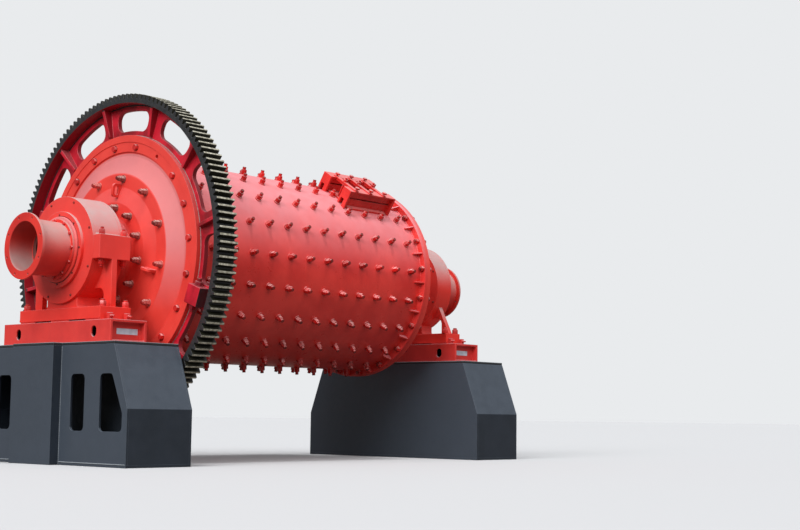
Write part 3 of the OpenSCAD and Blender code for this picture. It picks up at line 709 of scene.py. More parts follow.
@dataclass(frozen=True)
class Plain(Finish):
    """A matt surface of one colour with a faint mottle, for sealant, rubber and the blank plate."""

    colour: str = "#e9eaec"
    second: str = "#e2e4e6"
    mottle_mm: float = 300.0
    roughness: float = 0.7

    def dress(self, tree: Tree) -> dict[str, Given]:
        """Two near colours mixed by noise."""
        where = add(tree, "TexCoord").outputs["Object"]
        share = patches(tree, where, self.mottle_mm, 4, (0.35, 0.65))
        mottle = add(tree, "Mix", share, self.colour, self.second, data_type="RGBA")
        return {"Base Color": mottle, "Roughness": self.roughness}


@dataclass(frozen=True)
class StudioFloor(Finish):
    """Pale studio floor that throws little light back up under the mill."""

    seen: str = "#c6c7c9"
    bounced: str = "#6b6560"

    def dress(self, tree: Tree) -> dict[str, Given]:
        """The camera sees the pale colour, and every other ray the darker one."""
        camera = add(tree, "LightPath").outputs["Is Camera Ray"]
        colour = add(tree, "Mix", camera, self.bounced, self.seen, data_type="RGBA")
        return {"Base Color": colour, "Roughness": 0.8, "Specular IOR Level": 0.2}


# Each enamel gives its colour, its deep colour and its dust's colour, then its dust, film, full_at, skin_mm,
# skin_depth_mm and roughness

# Rolled plate under gloss enamel: its upper side is painted pink, partly thin dust and partly a painted sheen
# of the sky
SHELL_ENAMEL = Enamel("shell_gloss_enamel", "#e63a32", "#d42a24", "#e7a9b1", 0.62, 0.01, 0.8, 4.0, 0.08, 0.32)
# Plates of the manhole, wiped clean when it was closed, so their red stays full; their pale tops are partly
# dust and partly a painted highlight
MANHOLE_ENAMEL = Enamel("manhole_enamel", "#e0302a", "#c62420", "#f2c4c2", 0.34, 0.0, 0.9, 4.0, 0.08, 0.3)
# The heads: sand-cast iron under the same enamel, with a pale haze on the wide cone that is partly dust and
# partly a painted sheen of the sky
HEAD_ENAMEL = HeadEnamel("head_enamel", "#ea3e31", "#dd3328", "#c8a3a8", 0.4, 0.02, 0.95, 6.0, 0.3, 0.44)
# The bearing housings, cast and filled smooth, with the most dust on their round backs and little on the
# foot, as painted shade under the barrel
HOUSING_ENAMEL = HousingEnamel(
    "housing_enamel", "#ec3428", "#e02b21", "#adaaa9", 0.8, 0.01, 0.62, 5.0, 0.18, 0.42
)
# Spouts: the same enamel, brown with ore dust down their sides
SPOUT_ENAMEL = SpoutEnamel(
    "spout_enamel", "#e4372c", "#cc2922", "#aaa29e", 0.74, 0.02, 0.62, 5.0, 0.18, 0.46, starts_at=-0.5
)
# Sole plates: cast and then planed, their paint a shade deeper
SOLE_ENAMEL = SoleEnamel("sole_plate_enamel", "#dc332b", "#c92823", "#a9a6ac", 0.8, 0.0, 0.9, 5.0, 0.2, 0.42)
# Bolts and nuts painted with the shell: glossy, so each facet is a bright or a dark red; their pale tops are
# partly dust and partly a painted highlight
BOLT_ENAMEL = Enamel("bolt_enamel", "#d3201c", "#a81512", "#f3d0ce", 0.55, 0.0, 0.95, 3.0, 0.1, 0.2)
# Nuts of the gear's joint, painted with the crimson web and greasy
GEAR_BOLT_ENAMEL = Enamel("gear_bolt_enamel", "#a5182a", "#6f0f1b", "#d8b0ae", 0.4, 0.0, 0.95, 3.0, 0.1, 0.26)
# Nuts on the heads, brown with dust that sticks to their oil
HEAD_BOLT_ENAMEL = Enamel("head_bolt_enamel", "#c0302a", "#7e241f", "#cbb0a8", 0.6, 0.12, 0.9, 3.0, 0.1, 0.36)
# Thread ends, hole plugs and washers in a dark red with a shine: on the thread ends partly oil and partly
# painted shade, in the mouth holes and round the flange heads painted shade
DARK_OIL_AND_SHADE = Enamel("dark_oil_and_painted_shade", "#98241f", "#691813", "#bc827c", 0.25, 0.0, 1.0, 3.0, 0.1, 0.3)
# Socket heads on the covers, painted dark red as painted shade, as if sunk in their holes
SCREW_SHADE_RED = Enamel("screw_painted_shade_enamel", "#8c2a23", "#601a16", "#a8827c", 0.3, 0.0, 1.0, 3.0, 0.1, 0.36)
# Folded and welded plate in slate machine paint: satin, paler with dust as soon as a face leans towards the
# sky, and painted paler on the faces along the mill as painted light
PEDESTAL_ENAMEL = MachinePaint(
    "pedestal_machine_paint", "#222933", "#1c232c", "#646f7d", 0.4, 0.0, 0.45, 4.0, 0.06, 0.38, end_face_light=0.26
)
# The pedestals' top plates: nearly black, with dust on the flat
TOP_PLATE_ENAMEL = Enamel("top_plate_enamel", "#12161a", "#0e1114", "#8b9298", 0.8, 0.0, 0.5, 4.0, 0.06, 0.4)
# Weld seams of the pedestals, brushed and left thin of paint, so they show as pale lines
SEAM_ENAMEL = Enamel("brushed_weld_seam", "#6d747c", "#4c535b", "#a3a9ae", 0.6, 0.0, 0.5, 3.0, 0.2, 0.42)
# The gear: a crimson web inside a black rim whose teeth are dull with grease and dust
GEAR_ENAMEL = GearPaint("girth_gear_paint")
# Turned bearing steel, only seen in the gaps round the journal
BEARING_STEEL = Metal("turned_bearing_steel")
# Pale joint sealant and primer that shows at the gear's seat
SEALANT = Plain("grey_joint_sealant", "#a09c99", "#7d7774", 12.0, 0.75)
# Bare aluminium plate with nothing on it
BLANK_PLATE = Plain("blank_plate", "#c9ced8", "#b4bac6", 40.0, 0.4)
# Black rubber of the trunnion's lining and the lip seals, which also serves as painted shade inside the bore
# and in the gap round each journal
BLACK_LINING_SHADE = Plain("black_lining_and_painted_shade", "#141413", "#1e1d1c", 20.0, 0.55)


# Pieces


Widths = Callable[[np.ndarray], np.ndarray] | float


def read(items: bpy.types.bpy_prop_collection, name: str, kind: type, width: int = 1) -> np.ndarray:
    """One property of all items of a mesh, as an array (items, width)."""
    values = np.zeros(len(items) * width, kind)
    items.foreach_get(name, values)
    return values.reshape(-1, width)


def edge_turns(mesh: bpy.types.Mesh) -> np.ndarray:
    """The angle in degrees between the two faces at each edge, and 0 at an edge with one face.

    The faces' corners are sorted by their edge, so the two corners of an edge stand side by side, and the
    angle is the arc cosine of the product of their faces' normals.
    """
    sizes = read(mesh.polygons, "loop_total", np.int32).ravel()
    normals = read(mesh.polygons, "normal", np.float32, 3)
    edges = read(mesh.loops, "edge_index", np.int32).ravel()
    face = np.repeat(np.arange(len(sizes)), sizes)
    order = np.argsort(edges, kind="stable")
    pair = np.flatnonzero(edges[order][1:] == edges[order][:-1])
    one, two = normals[face[order[pair]]], normals[face[order[pair + 1]]]
    turns = np.zeros(len(mesh.edges))
    turns[edges[order[pair]]] = np.degrees(np.arccos(np.clip((one * two).sum(1), -1, 1)))
    return turns


def edge_middles(mesh: bpy.types.Mesh) -> np.ndarray:
    """The middle point of each edge."""
    points = read(mesh.vertices, "co", np.float32, 3)
    return points[read(mesh.edges, "vertices", np.int32, 2)].mean(1)


def round_edges(piece: bpy.types.Object, width_mm: Widths, above: float = 28.0) -> None:
    """Round the sharp edges with a Bevel modifier, each by its own width.

    Args:
        piece: The object.
        width_mm: One width, or a function from the edges' middles to their widths.
        above: Only edges that turn by more than this many degrees are rounded.
    """
    mesh = piece.data
    turns = edge_turns(mesh)
    wanted = width_mm(edge_middles(mesh)) if callable(width_mm) else np.full(len(turns), float(width_mm))
    widths = np.where(turns > above, wanted, 0.0)
    most = float(widths.max()) or 1.0
    sharp = mesh.attributes.get("sharp_edge") or mesh.attributes.new("sharp_edge", "BOOLEAN", "EDGE")
    sharp.data.foreach_set("value", (turns > above) & (widths <= 0))
    weights = mesh.attributes.new("bevel_weight_edge", "FLOAT", "EDGE")
    weights.data.foreach_set("value", (widths / most).astype(np.float32))
    bevel = piece.modifiers.new("rounded_edges", "BEVEL")
    bevel.width = most * MM
    bevel.segments = 2
    bevel.limit_method = "WEIGHT"
    bevel.use_clamp_overlap = False
    bevel.harden_normals = True


def linked(name: str, data: bpy.types.ID) -> bpy.types.Object:
    """A new object in the scene, made from a mesh, a lamp's data or a camera's."""
    made = bpy.data.objects.new(name, data)
    bpy.context.scene.collection.objects.link(made)
    return made


def stand(name: str, mesh: bpy.types.Mesh, finish: Finish, where: Slot | Body) -> bpy.types.Object:
    """Stand a mesh in the scene as a finished piece that rides on a body.

    Args:
        name: Name of the piece.
        mesh: Its mesh in the row frame.
        finish: What it is painted or made of.
        where: The record's slot of its finish, or the body that it moves with where it has no slot.

    Returns:
        The piece.
    """
    piece = linked(name, mesh)
    mesh.shade_smooth()
    mesh.materials.clear()
    mesh.materials.append(finish.material())
    if isinstance(where, Slot):
        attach(piece, where.body.value)
    else:
        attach(piece, where.value)
    LOG.info("%s: %d faces", name, len(mesh.polygons))
    return piece


def add_piece(name: str, patch: Patch, finish: Finish, where: Slot | Body, rounding_mm: float = 0.0) -> None:
    """Put a patch into a piece. Its sharp edges get a bevel, or stay sharp from 35 degrees on without one."""
    mesh = bpy.data.meshes.new(name)
    mesh.vertices.add(len(patch.points))
    mesh.vertices.foreach_set("co", patch.points.astype(np.float32).ravel())
    mesh.loops.add(len(patch.corners))
    mesh.loops.foreach_set("vertex_index", patch.corners.astype(np.int32))
    mesh.polygons.add(len(patch.counts))
    starts = np.concatenate([[0], np.cumsum(patch.counts)[:-1]]).astype(np.int32)
    mesh.polygons.foreach_set("loop_start", starts)
    mesh.update(calc_edges=True)
    mesh.validate()
    piece = stand(name, mesh, finish, where)
    if rounding_mm:
        round_edges(piece, rounding_mm)
    else:
        mesh.set_sharp_from_angle(angle=math.radians(35))


def finished_copy(node: str, finish: Finish, slot: Slot, width_mm: Widths, above: float = 28.0) -> None:
    """Stand a copy of a CAD node in its place, its triangles merged and its edges rounded as cast or ground.

    Args:
        node: The CAD node.
        finish: Its finish.
        slot: Its slot.
        width_mm: Width of the rounding, or a function from the edges' middles to widths.
        above: Only edges that turn by more than this many degrees are rounded.
    """
    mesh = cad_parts[node].data.copy()
    mesh.name = node + "_finished"
    work = bmesh.new()
    work.from_mesh(mesh)
    bmesh.ops.remove_doubles(work, verts=work.verts, dist=0.02 * MM)
    bmesh.ops.dissolve_degenerate(work, edges=work.edges, dist=0.01 * MM)
    bmesh.ops.dissolve_limit(work, angle_limit=math.radians(0.4), verts=work.verts, edges=work.edges)
    work.to_mesh(mesh)
    work.free()
    if "custom_normal" in mesh.attributes:
        mesh.attributes.remove(mesh.attributes["custom_normal"])
    piece = stand(mesh.name, mesh, finish, slot)
    round_edges(piece, width_mm, above)
    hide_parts(node)


@dataclass
class Castings:
    """The CAD nodes, each with its finish, and with its edges rounded where light would catch them."""

    casting_edge: float = 6.0
    crisp_edge: float = 3.0
    housing_edge: float = 4.0
    plate_edge: float = 2.0
    top_plate_edge: float = 5.0
    tooth_edge: float = 2.2
    web_edge: float = 7.0
    fold_turn: float = 12.0
    rim_in: float = 1.39
    flange_in: float = 0.9
    eye_from: float = 0.5
    eye_to: float = 0.68
    eye_x: float = 1.83
    gear_split: float = 1.5 * MM
    cap_split: float = 1.0 * MM

    def gear_width(self, middles: np.ndarray) -> np.ndarray:
        """The teeth and the rim are rounded less than the cast web, and the edges at the split not at all."""
        radius = axis_radius(middles)
        over = np.radians(GearFittings.split_angle)
        height = (middles[:, 2] - AXIS_Z) * math.cos(over) + middles[:, 1] * math.sin(over)
        width = np.where(radius > self.rim_in, self.tooth_edge, self.web_edge)
        return np.where(np.abs(height) < self.gear_split, 0.0, width)

    def head_width(self, middles: np.ndarray) -> np.ndarray:
        """Edges of the flange, the bolt holes and the lifting eyes stay crisper than the cast steps."""
        radius = axis_radius(middles)
        x = np.abs(middles[:, 0])
        eye = (radius > self.eye_from) & (radius < self.eye_to) & (x > self.eye_x)
        return np.where(eye | (radius > self.flange_in), self.crisp_edge, self.casting_edge)

    def housing_width(self, middles: np.ndarray) -> np.ndarray:
        """The split between base and cap is painted over, so its edges stay sharp."""
        return np.where(np.abs(middles[:, 2] - AXIS_Z) < self.cap_split, 0.0, self.housing_edge)

    def build(self) -> None:
        """Dress every CAD node."""
        for half in ("girth_gear_upper_half", "girth_gear_lower_half"):
            finished_copy(half, GEAR_ENAMEL, Slot.GEAR, self.gear_width)
        for word in (end.word for end in End):
            finished_copy(f"{word}_head", HEAD_ENAMEL, Slot.CASTING, self.head_width, self.fold_turn)
            finished_copy(f"{word}_spout", SPOUT_ENAMEL, Slot.CASTING, self.plate_edge)
            for part in ("outer_cover", "inner_cover", "seal_ring"):
                finished_copy(f"{word}_{part}", HOUSING_ENAMEL, Slot.HOUSING, self.plate_edge)
            sole = f"{word}_sole_plate"
            enamel = replace(SOLE_ENAMEL, name=sole + "_enamel", middle_x=middle_x(sole))
            finished_copy(sole, enamel, Slot.HOUSING, self.housing_edge)
            for part in ("outer_plate", "inner_plate", "sides", "column", "top_plate", "base_plate"):
                top = part == "top_plate"
                finish = TOP_PLATE_ENAMEL if top else PEDESTAL_ENAMEL
                width = self.top_plate_edge if top else self.plate_edge
                finished_copy(f"{word}_pedestal_{part}", finish, Slot.PEDESTAL, width, self.fold_turn)
            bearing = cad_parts[f"{word}_bearing_ring"]
            bearing.data.materials.clear()
            bearing.data.materials.append(BEARING_STEEL.material())
        for node in ("discharge_bearing_base", "discharge_bearing_cap", "feed_bearing_housing"):
            finished_copy(node, HOUSING_ENAMEL, Slot.HOUSING, self.housing_width)
        for node in ("shell", "gear_end_shell_flange", "feed_end_shell_flange", "shell_gussets"):
            finished_copy(node, SHELL_ENAMEL, Slot.SHELL, self.plate_edge)
        for part in ("frame", "cover", "bearers", "bridges"):
            finished_copy(f"manhole_{part}", MANHOLE_ENAMEL, Slot.SHELL, self.plate_edge)


@dataclass
class Fastener:
    """Sizes of a screw, or of a stud with its nut or nuts, in mm over the surface that it stands on."""

    washer_r: float
    nut_r: float
    nut_h: float
    stud_r: float = 0.0
    stud_h: float = 0.0
    washer_h: float = 4.0
    lock_h: float = 0.0
    bare_h: float = 9.0
    nut_gap: float = 4.0
    chamfer: float = 3.0
    across_flats: float = 0.86
    corner_cut: float = 0.13
    lock_share: float = 0.95
    sleeve: float = 0.6

    def height(self) -> float:
        """The top of the upper nut."""
        return self.washer_h + self.nut_h + (self.lock_h + self.nut_gap if self.lock_h else 0)

    def patch(self) -> Patch:
        """Outlines stacked from the washer to the tip, the nuts' corners chamfered at 30 degrees."""
        low, top = self.washer_h, self.washer_h + self.nut_h
        flat = self.nut_r * self.across_flats
        levels = [(-1.0, self.washer_r), (low, self.washer_r), (low, self.nut_r, Outline.HEX),
                  (top - self.corner_cut * self.nut_h, self.nut_r, Outline.HEX), (top, flat)]
        if self.lock_h:
            upper, between, lock_r = self.height(), top + self.nut_gap, self.lock_share * self.nut_r
            levels += [(top, self.stud_r), (between, self.stud_r), (between, lock_r, Outline.HEX),
                       (upper - self.chamfer, lock_r, Outline.HEX), (upper, self.lock_share * flat)]
            top = upper
        if self.stud_r:
            tip = top + self.stud_h
            levels += [(top, self.stud_r), (tip - self.chamfer, self.stud_r),
                       (tip, self.stud_r - self.chamfer)]
        return stacked(levels)

    def bare_end(self) -> Patch:
        """The unpainted end of the thread, a thin sleeve over the stud, dark partly with oil and partly as
        painted shade.
        """
        tip, radius = self.height() + self.stud_h, self.stud_r + self.sleeve
        end = (tip + 0.5, self.stud_r - 2.6)
        return stacked([(tip - self.bare_h, radius), (tip - self.chamfer, radius), end])

    def fit(self, name: str, places: np.ndarray, slot: Slot, finish: Finish = BOLT_ENAMEL) -> None:
        """Add one piece with all copies, and one with their bare thread ends where there are studs.

        Args:
            name: Name of the piece.
            places: Matrices (k, 4, 4) of the copies.
            slot: The record's slot of the paint.
            finish: The paint.
        """
        add_piece(name, self.patch().copied(places), finish, slot)
        if self.stud_r:
            add_piece(name + "_thread_ends", self.bare_end().copied(places), DARK_OIL_AND_SHADE, slot.body)


@dataclass
class ShellBolts:
    """The studs and nuts that hold the liners: rows round the shell, twelve along it."""

    rows: int = 20
    first_angle: float = 3.0
    along: int = 12
    first_x: float = -1.4505
    pitch: float = 0.2383
    manhole_row: float = 57.0
    open_from: float = 0.5
    open_to: float = 1.1

    def build(self) -> None:
        """All places on the grid of angles and stations, without those under the manhole."""
        angle, x = np.meshgrid(self.first_angle + 360 / self.rows * np.arange(self.rows),
                               self.first_x + self.pitch * np.arange(self.along), indexing="ij")
        angle, x = angle.ravel(), x.ravel()
        kept = ~((np.abs(angle - self.manhole_row) < 1) & (x > self.open_from) & (x < self.open_to))
        angle, x = angle[kept], x[kept]
        out = clock(angle)
        origins = np.stack([x, 0 * x, AXIS_Z + 0 * x], -1) + shell_radius() * out
        bolt = Fastener(washer_r=34, nut_r=28, nut_h=40, stud_r=17, stud_h=26, washer_h=8, bare_h=7)
        bolt.fit("shell_liner_bolts", facing(origins, out, 11), Slot.SHELL)


@dataclass
class FlangeBolts:
    """The bolts of the two end flanges: a head on the casting's side, a nut on the shell's side."""

    count: int = 20
    first_angle: float = 5.5
    gear_radius: float = 1.0
    feed_radius: float = 0.962
    empty_angle: float = 59.5
    recess: float = 8 * MM
    gear_seat: float = 58 * MM
    head_flange: float = 46 * MM

    def build(self) -> None:
        """Heads face away from the shell, nuts and stud ends face along it."""
        angles = self.first_angle + 360 / self.count * np.arange(self.count)
        used = angles[np.abs(angles - self.empty_angle) > 1]
        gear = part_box("girth_gear_upper_half")[0].x + self.gear_seat + self.recess
        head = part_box("feed_end_shell_flange")[1].x + self.head_flange
        to_gear, to_feed = End.DISCHARGE.out, End.FEED.out
        heads = np.concatenate([facing(on_drum(gear, self.gear_radius, used), to_gear, 21),
                                facing(on_drum(head, self.feed_radius, angles), to_feed, 24)])
        gear_back, head_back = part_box("gear_end_shell_flange")[1].x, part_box("feed_end_shell_flange")[0].x
        nuts = np.concatenate([facing(on_drum(gear_back, self.gear_radius, used), to_feed, 22),
                               facing(on_drum(head_back, self.feed_radius, angles), to_gear, 23)])
        bolt = Fastener(washer_r=27, nut_r=29, nut_h=24, washer_h=1)
        bolt.fit("flange_bolt_heads", heads, Slot.CASTING)
        # Dark washers under the heads: painted shadow round each head
        washer = stacked([(-1, 33), (1.5, 33), (2.5, 32)])
        add_piece("flange_bolt_washers", washer.copied(heads), DARK_OIL_AND_SHADE, Body.DRUM)
        nut = Fastener(washer_r=31, nut_r=29, nut_h=28, stud_r=17, stud_h=16, washer_h=4)
        nut.fit("flange_bolt_nuts", nuts, Slot.SHELL)


@dataclass
class HeadBolts:
    """Two rings of liner bolts on a head, and the screws of the spout's root flange."""

    end: End
    count: int = 12
    first_angle: float = 20.0
    discharge_flange: float = -1.7745
    feed_flange: float = 1.4235
    outer_ring: tuple[float, float] = (0.700, 0.048)
    inner_ring: tuple[float, float] = (0.432, 0.086)
    root_radius: float = 0.250
    root_back: float = 319 * MM
    hole_radius: float = 0.259
    hole_turn: float = 19.0

    def build(self) -> None:
        """Each ring, a radius and its rise over the flange, stands on its own step and faces outboard."""
        side, out, word = self.end.value, self.end.out, self.end.word
        flange = self.feed_flange if self.end is End.FEED else self.discharge_flange
        angles = self.first_angle + 360 / self.count * np.arange(self.count)
        bolt = Fastener(
            washer_r=35, nut_r=28, nut_h=30, stud_r=17, stud_h=20, washer_h=8, lock_h=20, bare_h=4
        )
        rings = [
            facing(on_drum(flange + side * rise, radius, angles), out, 31 + i)
            for i, (radius, rise) in enumerate((self.outer_ring, self.inner_ring))
        ]
        places = np.concatenate(rings)
        bolt.fit(f"{word}_head_liner_bolts", places, Slot.CASTING, HEAD_BOLT_ENAMEL)
        mouth = self.end.face(f"{word}_spout")
        screw = Fastener(washer_r=17, nut_r=15, nut_h=11, washer_h=0.8)
        root = on_drum(mouth - side * self.root_back, self.root_radius, 30.0 * np.arange(12))
        screw.fit(f"{word}_spout_screws", facing(root, out, 35), Slot.CASTING)
        # Dark plugs in the mouth's holes: painted shade inside the holes
        plug = stacked([(-13, 9.3), (-5, 9.3), (-4, 7.5)])
        holes = facing(on_drum(mouth, self.hole_radius, self.hole_turn + 45.0 * np.arange(8)), out)
        add_piece(f"{word}_mouth_holes", plug.copied(holes), DARK_OIL_AND_SHADE, Body.DRUM)


@dataclass
class GearFittings:
    """The studs that clamp the gear's two halves, and the sealant at its seat."""

    split_angle: float = -20.0
    studs_x: tuple[float, float] = (-1.779, -1.655)
    studs_radius: float = 1.19
    block_depth: float = 0.085
    seat: float = 104 * MM

    def build(self) -> None:
        """A stud runs through each pair of blocks along the rim, with a nut on each block's outer end."""
        stud = Fastener(washer_r=38, nut_r=35, nut_h=32, stud_r=21, stud_h=26, washer_h=6)
        places = []
        for base in (self.split_angle, self.split_angle + 180):
            radial, along = clock(np.array([base, base + 90]))
            for x in self.studs_x:
                for way in (-1.0, 1.0):
                    at = at_axis(x) + self.studs_radius * radial + way * self.block_depth * along
                    places.append(facing(at, way * along, 41))
        stud.fit("gear_joint_studs", np.concatenate(places), Slot.GEAR, GEAR_BOLT_ENAMEL)
        bead = revolved([(-2, 1108), (-2, 1109), (-0.5, 1112), (0.4, 1113), (0.4, 1108)], 180)
        seat = at_axis(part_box("girth_gear_upper_half")[0].x + self.seat)
        add_piece("gear_seat_sealant", bead.copied(facing(seat, End.FEED.out)), SEALANT, Body.DRUM)


@dataclass
class Manhole:
    """Clamp bolts, press screws and the cover's handle, drawn in mm along the mill, across it and up."""

    angle: float = 57.0
    near: float = -207.0
    far: float = 122.0
    top: float = 1111.0
    shell_r: float = 931.0
    pitch: float = 200.0
    shift: float = -45.0
    press_off: float = 30.0
    handle_x: float = 55.0
    handle_half: float = 50.0
    handle_rise: float = 62.0

    def place(self, patch: Patch) -> Patch:
        """Take (along, across, up) to the drum: up is the radius at the manhole's clock angle."""
        up, across = clock(np.array([self.angle, self.angle + 90]))
        matrix = np.eye(4)
        matrix[:3] = np.stack([[1, 0, 0], across, up, [middle_x("manhole_bearers"), 0, AXIS_Z]], -1)
        return patch.copied(matrix[None])

    def build(self) -> None:
        """A T-headed clamp bolt at both ends of each bridge, a press screw in its middle, and the handle."""
        stations = self.shift + self.pitch * np.array([-1, 0, 1])
        ends = np.array([[x, y, self.top] for x in stations for y in (self.near, self.far)]) * MM
        nut = Outline.HEX
        clamp = stacked([(-1, 15), (3, 15), (3, 9), (14, 9), (14, 25, nut), (29, 25, nut), (32, 20)])
        middle = (self.near + self.far) / 2 + self.press_off
        press = Fastener(washer_r=22, nut_r=21, nut_h=18, stud_r=11, stud_h=24, washer_h=4).patch()
        centres = np.array([[x, middle, self.top] for x in stations]) * MM
        length = self.top - self.shell_r - 38
        rod = stacked([(0, 10), (length - 2, 10), (length, 9)])
        feet = np.array([[x, middle, self.shell_r + 13] for x in stations]) * MM
        pairs = ((clamp, ends, 51), (press, centres, 52), (rod, feet, None))
        parts = [part.copied(facing(spots, UP, seed)) for part, spots, seed in pairs]
        add_piece("manhole_clamp_bolts", self.place(Patch.joined(parts)), BOLT_ENAMEL, Slot.SHELL)
        t = np.linspace(0, np.pi, 25)
        up = self.shell_r + 10 + self.handle_rise * np.sin(t) ** 0.6
        arch = np.stack([self.handle_x + 0 * t, -self.handle_half * np.cos(t), up], -1) * MM
        handle = swept(arch, np.broadcast_to([1.0, 0, 0], arch.shape), 8 * MM, 10)
        add_piece("manhole_handle", self.place(handle), BOLT_ENAMEL, Slot.SHELL)


@dataclass
class BearingFittings:
    """Screws of the covers, studs through the split lugs, and hold-down bolts on the foot."""

    end: End
    cover_radius: float = 0.437
    seal_radius: float = 0.305
    lug_x: tuple[float, float] = (-0.1, 0.125)
    lug_y: float = 0.505
    lug_half: float = 0.104
    foot_x: tuple[float, float] = (-0.108, 0.128)
    foot_y: float = 0.560
    foot_top: float = AXIS_Z - 0.513
    drawn_width: float = 0.321
    pin_x: float = 0.09
    pin_y: float = 0.659
    pin_z: float = 1.253

    def build(self) -> None:
        """Everything on one housing, mirrored in X at the feed end."""
        self.cover_screws()
        side, word = self.end.value, self.end.word
        housing = "feed_bearing_housing" if self.end is End.FEED else "discharge_bearing_base"
        low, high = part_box(housing)
        middle, reach = middle_x(housing), (high.x - low.x) / self.drawn_width
        nut = Fastener(washer_r=33, nut_r=31, nut_h=42, stud_r=20, stud_h=16, washer_h=6, bare_h=3.2)
        spots = four(middle - side * reach * np.array(self.foot_x), self.foot_y, self.foot_top)
        nut.fit(word + "_hold_down_bolts", facing(spots, UP, 64), Slot.HOUSING)
        if self.end is End.DISCHARGE:
            lug = four(middle + np.array(self.lug_x), self.lug_y, AXIS_Z)
            nut = Fastener(washer_r=31, nut_r=28, nut_h=42, stud_r=15, stud_h=20, washer_h=6, bare_h=3.2)
            rise = self.lug_half * np.array(UP)
            places = np.concatenate([facing(lug + rise, UP, 65), facing(lug - rise, [0, 0, -1.0], 66)])
            nut.fit("discharge_cap_bolts", places, Slot.HOUSING)
        pin = Fastener(washer_r=15, nut_r=14, nut_h=12, stud_r=8, stud_h=26, washer_h=2).patch()
        spots = four(middle + self.pin_x * np.array([-1, 1]), self.pin_y, self.pin_z)
        pins = pin.copied(facing(spots, np.sign(spots) * [0, 1, 0], 67))
        add_piece(word + "_adjusting_screws", pins, BOLT_ENAMEL, Slot.HOUSING)

    def cover_screws(self) -> None:
        """Eight socket screws on each cover, half a step on from the eight of the seal ring."""
        out, word = self.end.out, self.end.word
        screw = Fastener(washer_r=12, nut_r=10, nut_h=6, washer_h=0.8).patch()
        small = Fastener(washer_r=10, nut_r=8, nut_h=5, washer_h=0.8).patch()
        eighth = 45.0 * np.arange(8)
        outer = on_drum(self.end.face(word + "_outer_cover"), self.cover_radius, eighth + 22.5)
        inner = on_drum(self.end.face(word + "_inner_cover", outer=False), self.cover_radius, eighth + 22.5)
        seal = on_drum(self.end.face(word + "_seal_ring"), self.seal_radius, eighth)
        parts = [screw.copied(facing(outer, out, 61)), screw.copied(facing(inner, -np.array(out), 62)),
                 small.copied(facing(seal, out, 63))]
        # Their dark red is painted shade, as of heads sunk in holes
        add_piece(word + "_cover_screws", Patch.joined(parts), SCREW_SHADE_RED, Slot.HOUSING)


@dataclass
class Linings:
    """Black rubber inside the trunnions, and the lip seals that close the gap round each journal: dark rings
    that also paint the shade in the bore and the gap.
    """

    end: End
    ring_bore: float = 156.5
    ring_deep: float = 108.0
    trunnion_bore: float = 189.5
    depth: float = 560.0
    wall: float = 5.0
    spout: float = 339 * MM
    journal: float = 290.0
    lip: float = 34.0

    def build(self) -> None:
        """All are rings turned round the axis: the linings turn with the drum, the lip seal stands still."""
        out, word = self.end.out, self.end.word
        root = at_axis(self.end.face(word + "_spout") - self.end.value * self.spout)
        narrow, wide, wall = self.ring_bore, self.trunnion_bore, self.wall
        tube = revolved([(-self.depth, wide), (-1, wide), (-1, narrow), (self.ring_deep, narrow),
                         (self.ring_deep, narrow - wall), (-1 - wall, narrow - wall),
                         (-1 - wall, wide - wall), (-self.depth, wide - wall)])
        add_piece(word + "_trunnion_lining", tube.copied(facing(root, out)), BLACK_LINING_SHADE, Body.DRUM)
        gap = self.journal + 1.0
        out_r = gap + self.lip
        lip = revolved([(-14, gap), (-14, out_r), (-3, out_r), (-3, gap + 6), (-1, gap + 1)])
        seal = at_axis(self.end.face(word + "_seal_ring"))
        add_piece(word + "_lip_seal", lip.copied(facing(seal, out)), BLACK_LINING_SHADE, Body.SUPPORTS)


@dataclass
class SolePlates:
    """The blank plates in the recessed ends of the sole plates."""

    end: End
    size: tuple[float, float, float] = (219.0, 2.0, 50.0)
    offset_x: float = 28.0
    offset_z: float = 0.097
    recess_y: float = 729.0
    rivet_in: float = 8.0

    def build(self) -> None:
        """A thin plate with four rivets on the end wall that the photograph shows."""
        word = self.end.word
        x = middle_x(word + "_sole_plate") / MM + self.offset_x * -self.end.value
        z = (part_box(word + "_sole_plate")[0].z + self.offset_z) / MM
        w, t, h = self.size
        y = -self.recess_y
        plate = blocks([(x - w / 2, x + w / 2, y - t, y + 0.5, z - h / 2, z + h / 2)])
        add_piece(word + "_blank_plate", plate, BLANK_PLATE, Body.SUPPORTS, rounding_mm=0.6)
        rivet = stacked([(-1, 4), (1.2, 4), (2.4, 2.2)])
        across, up = w / 2 - self.rivet_in, h / 2 - self.rivet_in
        spots = np.array([[x + i * across, y - t, z + j * up] for i in (-1, 1) for j in (-1, 1)])
        rivets = rivet.copied(facing(spots * MM, [0, -1.0, 0]))
        add_piece(word + "_plate_rivets", rivets, BLANK_PLATE, Body.SUPPORTS)


